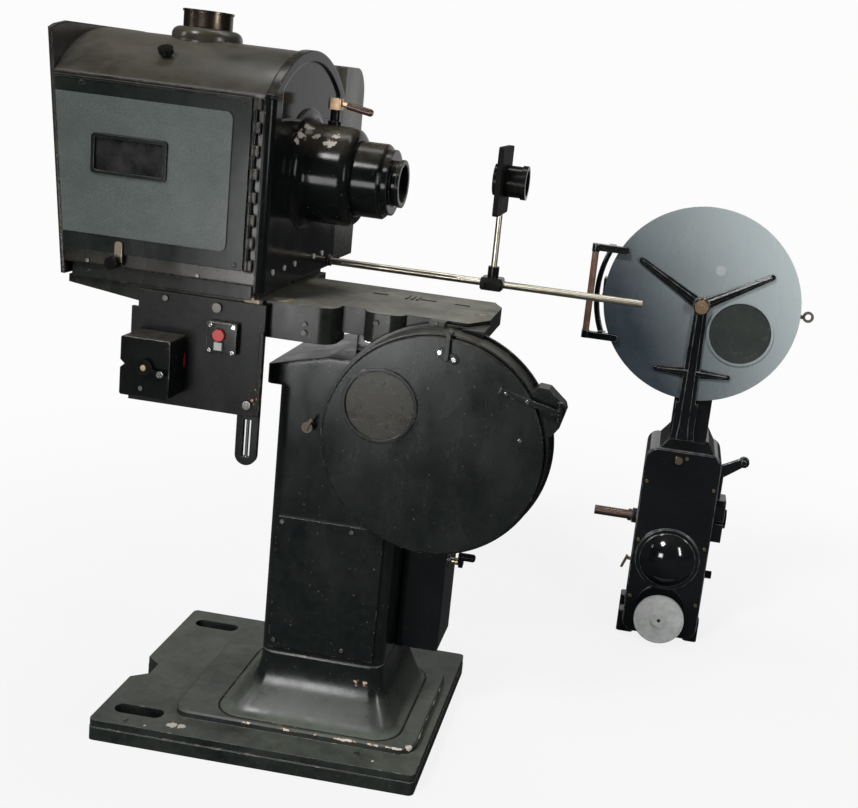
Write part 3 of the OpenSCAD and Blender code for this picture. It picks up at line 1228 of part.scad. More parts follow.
// Handwheel with its shaft and inner gear disc
module handwheel() color([0.75, 0.77, 0.76]) difference() {
  union() {
    yc(wheel_x, wheel_z, wheel_y - 8, wheel_y - 8 + wheel_t, wheel_r, $fn = 96);
    yc(wheel_x, wheel_z, wheel_y - 12, head_y - 8 - gap_c, 20);
    yc(wheel_x, wheel_z, wheel_y, house_y + 40, 8);
    yc(wheel_x, wheel_z, house_y + 20, house_y + 30, 40);
  }
  difference() {
    yc(wheel_x, wheel_z, wheel_y - 9, wheel_y - 6, wheel_r - 5, $fn = 96);
    yc(wheel_x, wheel_z, wheel_y - 10, wheel_y - 5, 26);
  }
  yc(wheel_x, wheel_z, wheel_y - 13, wheel_y - 6, 5, $fn = 24);
}

// Input shaft with its collar and inner gear disc
module input_shaft() color([0.45, 0.36, 0.26]) {
  xc(shaft_y, shaft_z, head_x0 - shaft_l, head_x0 + 56, shaft_r);
  xc(shaft_y, shaft_z, head_x0 - 26, head_x0 - 14 - gap_c, 17);
  xc(shaft_y, shaft_z, head_x0 + 36, head_x0 + 48, 42);
}

// Framing lever on the rear side of the head
module framing_lever() color([0.6, 0.5, 0.3]) {
  xc(house_y + 34, frame_z, head_x0 - 10, head_x0 + 18, 5);
  translate([head_x0 - 10, house_y + 34, frame_z]) rotate([0, 20, 0]) {
    bx(-6, 0, -7, 7, -26, 6);
    xc(0, -26, -6, 0, 7);
  }
}

// Framing knob on the front side of the head
module framing_knob() color([0.12, 0.13, 0.13]) {
  xc(house_y + 64, fknob_z, head_x1 - 20, head_x1 + 4, 6);
  xc(house_y + 64, fknob_z, head_x1 + gap_c, head_x1 + 22, 11);
}

// Split lens mount and the arm with its eye on the head's front side
module lens_mount() color([0.09, 0.10, 0.11]) difference() {
  union() {
    rx(head_x1, head_x1 + 30, shaft_y - 42, shaft_y + 42, lens_z - 62, lens_z + 62, 14);
    bx(head_x1, head_x1 + 10, house_y + 24, house_y + 60, lens_z + 70, shoulder_z - 60);
    xz(house_y + 30, house_y + 42) polygon([[head_x1, shoulder_z - 74], [head_x1 + 56, shoulder_z - 32],
      [head_x1 + 60, shoulder_z - 2], [head_x1, shoulder_z - 34]]);
    yc(head_x1 + 60, shoulder_z - 16, house_y + 30, house_y + 42, 15);
    yc(head_x1 + 60, shoulder_z - 16, house_y + 26, house_y + 31, 7, $fn = 24);
  }
  bx(head_x1 - cut, head_x1 + 31, shaft_y - 50, shaft_y + 50, lens_z - 4, lens_z + 4);
  xc(shaft_y, lens_z, head_x1 - cut, head_x1 + 31, plens_r + run_c);
}

// Projection lens barrel
module projection_lens() color([0.2, 0.2, 0.2]) difference() {
  union() {
    xc(shaft_y, lens_z, head_x1 + 4, head_x1 + 32, plens_r);
    xc(shaft_y, lens_z, head_x1 + 32, head_x1 + 38, plens_r - 3);
  }
  xc(shaft_y, lens_z, head_x1 + 28, head_x1 + 39, plens_r - 8);
}

// One tapered arm of the spider, drawn from the hub outward with a raised rib
module spider_arm(a, l, w0, w1) translate([um_x, 0, um_z]) rotate([0, -a, 0]) {
  xz(um_y - 7, um_y) polygon([[0, -w0 / 2], [l, -w1 / 2], [l, w1 / 2], [0, w0 / 2]]);
  yc(l, 0, um_y - 7, um_y, w1 / 2);
  xz(spider_y, um_y - 6) polygon([[0, -w0 / 5], [l - 4, -w1 / 5], [l - 4, w1 / 5], [0, w0 / 5]]);
}

// Spider that carries the feed magazine on the head
module spider() color([0.07, 0.08, 0.09]) difference() {
  union() {
    spider_arm(30, arm_l, 30, 16);
    spider_arm(150, arm_l, 30, 16);
    for (s = [0, 180]) translate([0, 0, -185]) spider_arm(s, 98, 30, 12);
    xz(um_y - 8, um_y) polygon([[um_x - spider_w / 2 + 3, um_z], [um_x + spider_w / 2 - 3, um_z],
      [um_x + spider_w / 2 + 4, um_z - 330], [um_x + spider_w / 2 + 14, shoulder_z + 40],
      [um_x - spider_w / 2 - 14, shoulder_z + 40], [um_x - spider_w / 2 - 4, um_z - 330]]);
    xz(spider_y - 4, um_y - 7) polygon([[um_x - 8, um_z], [um_x + 8, um_z],
      [um_x + 12, um_z - 330], [um_x + 16, shoulder_z + 40], [um_x - 16, shoulder_z + 40],
      [um_x - 12, um_z - 330]]);
    bx(um_x - spider_w / 2 - 10, um_x + spider_w / 2 + 10, um_y - 8, house_y + 2, shoulder_z + 40,
      um_z - um_r - 8);
    yc(um_x, um_z, hub_y, um_y, 22);
  }
  yc(um_x, um_z, hub_y - cut, um_y + cut, spin_r + run_c);
}

// Spindle of the feed magazine with its nut and pin outside and core flange inside
module upper_spindle() color([0.72, 0.55, 0.35]) {
  yc(um_x, um_z, hub_y - 14, um_back - 5, spin_r);
  yc(um_x, um_z, hub_y - 14, hub_y - gap_c, 18);
  yc(um_x + 2, um_z, hub_y - 18, hub_y - 13, 7, $fn = 24);
  zc(um_x + 3, hub_y - 8, um_z + 14, um_z + 26, 4, $fn = 24);
  yc(um_x, um_z, um_y + 16, um_y + 22, 26);
}

// Shell of the feed magazine with its window ring and the door's hinge
module upper_shell() color([0.42, 0.5, 0.54]) difference() {
  union() {
    drum(um_x, um_z, um_y, um_back, um_drum, um_r, false);
    yc(uwin_x, uwin_z, um_y - win_rise, um_y + 1, uwin_r, $fn = 64);
    for (z = [um_z - 30, um_z + 11]) {
      bx(uhinge_x - 5, um_x - um_drum + 3, um_back - 16, um_back, z, z + 19);
      bx(uhinge_x - 5, uhinge_x + 5, um_back - 16, um_back + 16, z, z + 19);
      zc(uhinge_x, um_back + 16, z, z + 19, 6, $fn = 32);
    }
    zc(uhinge_x, um_back + 16, um_z - 30, um_z + 30, 3, $fn = 32);
    yc(um_x + um_r - 6, um_z, um_back - 24, um_back - 10, 9);
    bx(um_x + um_drum - 3, um_x + um_r - 6, um_back - 24, um_back - 10, um_z - 9, um_z + 9);
  }
  yc(um_x, um_z, um_y - cut, um_y + mag_wall + cut, spin_r + run_c);
  yc(uwin_x, uwin_z, um_y - win_rise - cut, um_y + 3, uwin_r - win_ring, $fn = 64);
  yc(uwin_x, uwin_z, um_y - cut, um_y + mag_wall + 3, uwin_r - win_ring - 6, $fn = 64);
  yc(um_x + um_r - 6, um_z, um_back - 25, um_back - 9, 3 + run_c, $fn = 24);
}

// Far door of the feed magazine
module upper_door() color([0.42, 0.5, 0.54]) difference() {
  union() {
    yc(um_x, um_z, um_back + gap_c, um_back + mdoor_t, um_r - 12, $fn = 96);
    zc(uhinge_x, um_back + 16, um_z - 10, um_z + 10, 6.5, $fn = 32);
    bx(uhinge_x, uhinge_x + 72, um_back + mdoor_t - 1, um_back + mdoor_t + 7, um_z - 9, um_z + 9);
  }
  zc(uhinge_x, um_back + 16, um_z - 12, um_z + 12, 3 + run_c, $fn = 32);
  yc(um_x, um_z, um_back, um_back + mdoor_t - 4, um_r - 18, $fn = 96);
}

// Dark glass of the feed magazine's window
module upper_glass() color([0.2, 0.22, 0.2])
  yc(uwin_x, uwin_z, um_y + 3 - glass_t, um_y + 3, uwin_r - win_ring - key_c, $fn = 64);

// Handle casting on the feed magazine's near face, with its arc behind the grip
module handle_casting() color([0.07, 0.07, 0.07]) {
  intersection() {
    difference() {
      yc(um_x, um_z, um_y + 12, um_y + 26, um_r + arc_out + 14, $fn = 96);
      yc(um_x, um_z, um_y + 11, um_y + 27, um_r + arc_out, $fn = 96);
    }
    bx(grip_x - 20, um_x - um_r + 60, um_y + 10, um_y + 30, um_z - harm_z, um_z + harm_z);
  }
  for (s = [-1, 1]) {
    bx(grip_x - 9, um_x - um_r + 44, um_y - 17, um_y, um_z + s * harm_z - 9, um_z + s * harm_z + 9);
    yc(um_x - um_r + 44, um_z + s * harm_z, um_y - 17, um_y, 9);
    bx(um_x - um_r - 2, um_x - um_r + 16, um_y - 2, um_y + 26, um_z + s * harm_z - 9,
      um_z + s * harm_z + 9);
    zc(grip_x, grip_y, s > 0 ? um_z + grip_l / 2 : um_z - harm_z - 9,
      s > 0 ? um_z + harm_z + 9 : um_z - grip_l / 2, grip_r + 1.5);
  }
}

// Brown carrying grip of the feed magazine
module handle_grip() color([0.45, 0.3, 0.22])
  zc(grip_x, grip_y, um_z - grip_l / 2, um_z + grip_l / 2, grip_r);

// Latch with a wire-like eye on the rim of the feed magazine
module upper_latch() color([0.5, 0.5, 0.48]) {
  yc(um_x + um_r - 6, um_z, um_back - 30, um_back - 11, 3, $fn = 24);
  difference() {
    union() {
      yc(um_x + um_r - 6, um_z, um_back - 30, um_back - 24 - gap_c, 7);
      bx(um_x + um_r - 6, um_x + um_r + 16, um_back - 30, um_back - 24 - gap_c, um_z - 5, um_z + 5);
      yc(um_x + um_r + 24, um_z + 2, um_back - 30, um_back - 24 - gap_c, 15);
    }
    yc(um_x + um_r + 24, um_z + 2, um_back - 31, um_back - 23, 8);
  }
}

base_plate();
column();
column_cover();
screws();
column_knob();
drive_box();
clutch_lever();
lower_shell();
lower_door();
lower_glass();
lower_latch();
lower_spindle();
bed();
bed_screws();
slotted_bar();
switch_plate();
switch_box();
switch_knob();
button_box();
red_button();
grey_button();
slide_base();
lamp_body();
rear_plate();
front_casting();
nose_tube();
condenser();
lamp_door();
door_panel();
window_glass();
door_latch();
roof_knob();
chimney_pipe();
dowser_lever();
dowser_grip();
mirror();
carbons();
lamp_carriage();
lamp_rivets();
lens_rod();
rod_clamp();
lens_post();
lens_board();
slide_lens();
head_housing();
head_cover();
handwheel();
input_shaft();
framing_lever();
framing_knob();
lens_mount();
projection_lens();
spider();
upper_spindle();
upper_shell();
upper_door();
upper_glass();
handle_casting();
handle_grip();
upper_latch();
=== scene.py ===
"""The film projector's looks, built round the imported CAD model. Lengths are in metres."""
import math

import bmesh
import bpy
from mathutils import Matrix, Vector


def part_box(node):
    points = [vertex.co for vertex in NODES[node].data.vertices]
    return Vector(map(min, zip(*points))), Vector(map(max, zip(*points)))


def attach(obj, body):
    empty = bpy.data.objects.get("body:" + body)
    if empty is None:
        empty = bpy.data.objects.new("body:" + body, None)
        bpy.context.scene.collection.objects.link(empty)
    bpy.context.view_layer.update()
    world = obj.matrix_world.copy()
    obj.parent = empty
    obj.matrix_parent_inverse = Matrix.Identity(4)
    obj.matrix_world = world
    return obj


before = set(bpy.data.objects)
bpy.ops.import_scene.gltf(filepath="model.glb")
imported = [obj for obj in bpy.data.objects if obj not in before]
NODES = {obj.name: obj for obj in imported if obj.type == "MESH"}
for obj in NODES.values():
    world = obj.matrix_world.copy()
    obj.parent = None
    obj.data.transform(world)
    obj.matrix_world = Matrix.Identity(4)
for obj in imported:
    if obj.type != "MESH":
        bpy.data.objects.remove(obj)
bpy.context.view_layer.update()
scene = bpy.context.scene

# ---------------------------------------------------------------- camera
# Fitted to the photograph: focal length and principal point in its pixels, and the camera's axes.
FOCAL_PX = 1137.578
CENTRE_PX = (560.25, 342.1)
IMAGE_PX = (858, 808)
SENSOR_MM = 36
CLIP = (0.05, 100)
CAM_POS = Vector((0.730242, -2.387495, 1.479702))
CAM_RIGHT = Vector((0.986637, 0.109307, 0.120822))
CAM_UP = Vector((-0.140898, 0.200043, 0.969602))
CAM_FORWARD = Vector((-0.081815, 0.973670, -0.212771))


def make_camera():
    data = bpy.data.cameras.new("camera")
    data.sensor_width = SENSOR_MM
    data.lens = FOCAL_PX / IMAGE_PX[0] * SENSOR_MM
    data.shift_x = 0.5 - CENTRE_PX[0] / IMAGE_PX[0]
    data.shift_y = (CENTRE_PX[1] - IMAGE_PX[1] / 2) / IMAGE_PX[0]
    data.clip_start, data.clip_end = CLIP
    cam = bpy.data.objects.new("camera", data)
    turn = Matrix((CAM_RIGHT, CAM_UP, -CAM_FORWARD)).transposed()
    cam.matrix_world = Matrix.Translation(CAM_POS) @ turn.to_4x4()
    scene.collection.objects.link(cam)
    scene.camera = cam


make_camera()


# ---------------------------------------------------------------- material helpers
class Tree:
    """A material's node tree with short ways to add its nodes."""

    def __init__(self, name):
        self.mat = bpy.data.materials.new(name)
        self.mat.use_nodes = True
        self.nt = self.mat.node_tree
        self.bsdf = next(n for n in self.nt.nodes if n.type == "BSDF_PRINCIPLED")
        self.coord = self.add("ShaderNodeTexCoord")
        self.geo = self.add("ShaderNodeNewGeometry")

    def link(self, a, b):
        self.nt.links.new(a, b)

    def add(self, kind):
        return self.nt.nodes.new(kind)

    def feed(self, socket, value):
        """Links an output to the socket, or sets the socket to a plain value."""
        if isinstance(value, (int, float, tuple)):
            socket.default_value = value
        else:
            self.link(value, socket)

    def place(self, stretch=None):
        """The point on the object, with its axes scaled by the stretch."""
        if not stretch:
            return self.coord.outputs["Object"]
        n = self.add("ShaderNodeMapping")
        n.inputs["Scale"].default_value = stretch
        self.link(self.coord.outputs["Object"], n.inputs["Vector"])
        return n.outputs["Vector"]

    def noise(self, scale, detail=4, rough=0.55, stretch=None):
        n = self.add("ShaderNodeTexNoise")
        n.inputs["Scale"].default_value = scale
        n.inputs["Detail"].default_value = detail
        n.inputs["Roughness"].default_value = rough
        self.link(self.place(stretch), n.inputs["Vector"])
        return n.outputs["Fac"]

    def span(self, value, lo, hi, to_lo=0.0, to_hi=1.0):
        """Maps lo..hi to to_lo..to_hi and clamps there."""
        n = self.add("ShaderNodeMapRange")
        self.link(value, n.inputs["Value"])
        for key, v in zip(("From Min", "From Max", "To Min", "To Max"), (lo, hi, to_lo, to_hi)):
            n.inputs[key].default_value = v
        return n.outputs["Result"]

    def math(self, op, a, b):
        n = self.add("ShaderNodeMath")
        n.operation = op
        self.feed(n.inputs[0], a)
        self.feed(n.inputs[1], b)
        return n.outputs["Value"]

    def vector(self, op, a, b=None):
        """A vector operation's node, whose result is its Vector or its Value output."""
        n = self.add("ShaderNodeVectorMath")
        n.operation = op
        self.link(a, n.inputs[0])
        if b is not None:
            self.feed(n.inputs[1], b)
        return n.outputs

    def axis(self, vector, name):
        n = self.add("ShaderNodeSeparateXYZ")
        self.link(vector, n.inputs["Vector"])
        return n.outputs[name]

    def mix(self, fac, a, b):
        """Blends two colours, each a linked output or red, green and blue."""
        n = self.add("ShaderNodeMix")
        n.data_type = "RGBA"
        self.link(fac, n.inputs["Factor"])
        for socket, v in ((n.inputs[6], a), (n.inputs[7], b)):
            self.feed(socket, (*v, 1) if isinstance(v, tuple) else v)
        return n.outputs[2]

    def soft_normal(self, radius):
        n = self.add("ShaderNodeBevel")
        n.samples = 6
        n.inputs["Radius"].default_value = radius
        return n.outputs["Normal"]

    def edge_mask(self, radius, lo=0.02, hi=0.22):
        """1 on outer and inner edges, 0 on flat and gently curved faces."""
        turn = self.vector("DOT_PRODUCT", self.soft_normal(radius), self.geo.outputs["True Normal"])
        return self.span(self.math("SUBTRACT", 1.0, turn["Value"]), lo, hi)

    def up_mask(self, lo=0.35, hi=0.95):
        """1 on faces that look up, 0 on upright ones."""
        return self.span(self.axis(self.geo.outputs["Normal"], "Z"), lo, hi)

    def reach(self, place, size):
        """The distance from the place, where 1 is the surface of an ellipsoid of those half sizes."""
        offset = self.vector("SUBTRACT", self.place(), place)["Vector"]
        return self.vector("LENGTH", self.vector("DIVIDE", offset, size)["Vector"])["Value"]

    def near(self, place, size):
        """1 at the place, falling to 0 at the ellipsoid of those half sizes, or at that radius."""
        return self.span(self.reach(place, size if isinstance(size, tuple) else (size,) * 3), 1.0, 0.0)

    def patch(self, place, size):
        """1 inside an ellipsoid of those half sizes, 0 outside."""
        return self.span(self.reach(place, size), 1.0, 0.86)

    def slope(self, direction, lo, hi):
        """0 to 1 from lo to hi along a direction."""
        return self.span(self.vector("DOT_PRODUCT", self.place(), direction)["Value"], lo, hi)

    def wires(self, axis, pitch):
        """1 on evenly spaced thin lines across one axis."""
        wave = self.math("PINGPONG", self.axis(self.place(), axis), pitch / 2)
        return self.span(wave, pitch * 0.16, pitch * 0.08)

    def bump(self, height, strength, distance, normal=None):
        n = self.add("ShaderNodeBump")
        n.inputs["Strength"].default_value = strength
        n.inputs["Distance"].default_value = distance
        self.link(height, n.inputs["Height"])
        if normal:
            self.link(normal, n.inputs["Normal"])
        return n.outputs["Normal"]

    def finish(self, color, rough=None, normal=None, **uniform):
        """Feeds the shader. Uniform values, such as ior or metallic, go on its own sockets."""
        for socket, value in (("Base Color", color), ("Roughness", rough), ("Normal", normal)):
            if value is not None:
                self.link(value, self.bsdf.inputs[socket])
        for key, v in uniform.items():
            self.bsdf.inputs[key.replace("_", " ").title().replace("Ior", "IOR")].default_value = v
        return self.mat


SPECK_COLOR = (0.24, 0.22, 0.19)
RUST_FROM, PRIMER_FROM, CHIP_BLUR = 1.05, 1.10, 0.04  # flake noise plus a mark's nearness
WAVE, EDGE, CHIP_DEPTH = 0.0006, 0.003, 0.0003


def worn_paint(name, dark, light, rough=(0.12, 0.32), chips=0.5, chip_color=(0.50, 0.44, 0.34),
               dust=0.25, dust_color=(0.15, 0.14, 0.115), peel=0.0001, speckle=0.0, soft=0.0024,
               grain=(1, 1, 1), fade=None, rub_and_highlight=0.0, rub_and_highlight_color=(0.30, 0.31, 0.29), specks=0.0,
               shine=0.5, rust_color=(0.16, 0.07, 0.03), marks=(), patches=()):
    """Old gloss paint over cast iron: cloudy colour, dust on top, chipped edges, and edges lightened as
    rubbed paint with a painted highlight.

    fade: (direction, from, to, colour), a second colour along a direction.
    marks: (place, radius or half sizes, strength), spots chipped down to primer and rust.
    patches: (place, half sizes, colour).
    """
    t = Tree(name)
    cloud = t.noise(5.5, 6, 0.65, grain)
    fine = t.noise(60, 3, 0.6)
    grit = t.noise(330, 2, 0.6)
    shade = t.math("ADD", cloud, t.math("MULTIPLY", fine, 0.35))
    shade = t.math("ADD", shade, t.math("MULTIPLY", t.math("SUBTRACT", grit, 0.5), speckle))
    tone = t.mix(t.span(shade, 0.5, 0.95), dark, light)
    if fade:
        direction, lo, hi, fade_color = fade
        tone = t.mix(t.slope(direction, lo, hi), tone, fade_color)
    settled = t.math("ADD", t.noise(8, 6, 0.68, grain), t.math("MULTIPLY", t.noise(52, 5, 0.7), 0.5))
    dusty = t.math("MULTIPLY", t.up_mask(), t.span(settled, 0.58, 0.98, dust * 0.25, dust))
    tone = t.mix(dusty, tone, dust_color)
    if specks:
        tone = t.mix(t.span(t.noise(150, 1, 0.5), 0.75, 0.79, 0.0, specks), tone, SPECK_COLOR)
    rim = t.edge_mask(EDGE)
    # Edges lightened towards the rub colour: partly rubbed paint, partly a painted highlight along the edges.
    if rub_and_highlight:
        rubbed_and_highlit = t.span(t.noise(26, 4, 0.6), 0.35, 0.6, 0.0, rub_and_highlight)
        tone = t.mix(t.math("MULTIPLY", rim, rubbed_and_highlit), tone, rub_and_highlight_color)
    worn = t.math("MULTIPLY", rim, t.math("MULTIPLY", t.span(t.noise(38, 5, 0.7), 0.56, 0.64), chips))
    flake = t.noise(105, 5, 0.65)
    rust = worn
    for place, size, strength in marks:
        depth = t.math("ADD", flake, t.math("MULTIPLY", t.near(place, size), strength))
        rust = t.math("MAXIMUM", rust, t.span(depth, RUST_FROM, RUST_FROM + CHIP_BLUR))
        worn = t.math("MAXIMUM", worn, t.span(depth, PRIMER_FROM, PRIMER_FROM + CHIP_BLUR))
    tone = t.mix(rust, tone, rust_color)
    tone = t.mix(worn, tone, chip_color)
    for place, size, color in patches:
        tone = t.mix(t.patch(place, size), tone, color)
    smear = t.span(t.noise(14, 4, 0.6, (1, 1, 0.4)), 0.3, 0.75, rough[0], rough[1])
    gloss = t.math("ADD", smear, t.math("MULTIPLY", t.math("MAXIMUM", dusty, rust), 0.4))
    normal = t.bump(t.noise(7, 2, 0.5), 1.0, WAVE, t.soft_normal(soft))
    normal = t.bump(grit, 0.6, peel, normal)
    normal = t.bump(t.math("SUBTRACT", 1.0, rust), 0.7, CHIP_DEPTH, normal)
    return t.finish(tone, gloss, normal, specular_ior_level=shine)


def metal(name, dark, light, rough, stretch=(1, 1, 1), depth=0.00006):
    """Bare metal with a brushed or turned grain and patchy tarnish."""
    t = Tree(name)
    stain = t.span(t.noise(16, 6, 0.65), 0.35, 0.72)
    line = t.noise(240, 3, 0.6, stretch)
    tone = t.mix(stain, light, dark)
    gloss = t.span(t.math("ADD", t.math("MULTIPLY", stain, 0.6), t.math("MULTIPLY", line, 0.4)),
                   0.15, 0.85, rough[0], rough[1])
    normal = t.bump(line, 0.7, depth, t.soft_normal(0.0012))
    return t.finish(tone, gloss, normal, metallic=1.0)


def moulded(name, dark, light, rough=(0.25, 0.4), grain=500, stretch=None, shine=0.5):
    """Plastic, wood or carbon: fine grain and faint handling marks."""
    t = Tree(name)
    line = t.noise(grain, 3, 0.6, stretch)
    cloud = t.noise(24, 4, 0.6)
    shade = t.math("ADD", t.math("MULTIPLY", line, 0.5), t.math("MULTIPLY", cloud, 0.5))
    tone = t.mix(t.span(shade, 0.35, 0.68), dark, light)
    gloss = t.span(cloud, 0.3, 0.7, rough[0], rough[1])
    normal = t.bump(line, 0.5, 0.00005, t.soft_normal(0.001))
    return t.finish(tone, gloss, normal, specular_ior_level=shine)


def glass(name, tint, rough, weight):
    """Smudged glass. The weight is how much light it lets through."""
    t = Tree(name)
    smudge = t.noise(22, 5, 0.6)
    tone = t.mix(t.span(smudge, 0.35, 0.7), tint, tuple(min(1, c * 2.2 + 0.01) for c in tint))
    gloss = t.span(smudge, 0.3, 0.7, rough, rough + 0.14)
    return t.finish(tone, gloss, t.bump(smudge, 0.3, 0.0002), transmission_weight=weight, ior=1.5)


def mirror_material():
    """The mirror's silver with a slight haze."""
    t = Tree("silvered")
    haze = t.noise(18, 5, 0.6)
    tone = t.mix(t.span(haze, 0.4, 0.7), (0.9, 0.9, 0.92), (0.7, 0.7, 0.7))
    return t.finish(tone, t.span(haze, 0.3, 0.7, 0.03, 0.12), metallic=1.0)


MESH_PITCH = 0.0042


def mesh_glass():
    """Window glass with fine wire mesh behind it: a woven grid of lines under scratches."""
    t = Tree("mesh_glass")
    lines = [t.wires(axis, MESH_PITCH) for axis in "XZ"]
    weave = t.math("MAXIMUM", lines[0], lines[1])
    scratch = t.span(t.noise(30, 3, 0.7, (1, 1, 7)), 0.62, 0.68)
    tone = t.mix(weave, (0.014, 0.014, 0.010), (0.045, 0.042, 0.029))
    tone = t.mix(t.math("MULTIPLY", scratch, 0.35), tone, (0.22, 0.20, 0.16))
    gloss = t.span(t.noise(22, 5, 0.6), 0.3, 0.7, 0.2, 0.4)
    return t.finish(tone, gloss, t.bump(weave, 0.5, 0.0004))


# ---------------------------------------------------------------- materials
# Chips along the raised pad's near and right edges, then single ones on the base plate.
PAD_MARKS = [((x, -0.2065, 0.060), (0.075, 0.011, 0.009), strength)
             for x, strength in ((-0.03, 0.66), (0.06, 0.78), (0.12, 0.70),
                                 (0.19, 0.84), (0.26, 0.74), (0.30, 0.80))]
PAD_MARKS += [((0.3405, y, 0.060), (0.011, 0.055, 0.009), strength)
              for y, strength in ((-0.14, 0.80), (-0.07, 0.72), (0.0, 0.84), (0.06, 0.76))]
PAD_MARKS += [((-0.185, -0.244, 0.048), 0.026, 1.0), ((-0.165, -0.242, 0.048), 0.022, 0.95),
              ((0.330, -0.196, 0.062), 0.022, 0.9), ((-0.238, -0.262, 0.048), 0.008, 1.0),
              ((0.262, -0.247, 0.048), 0.007, 1.0)]

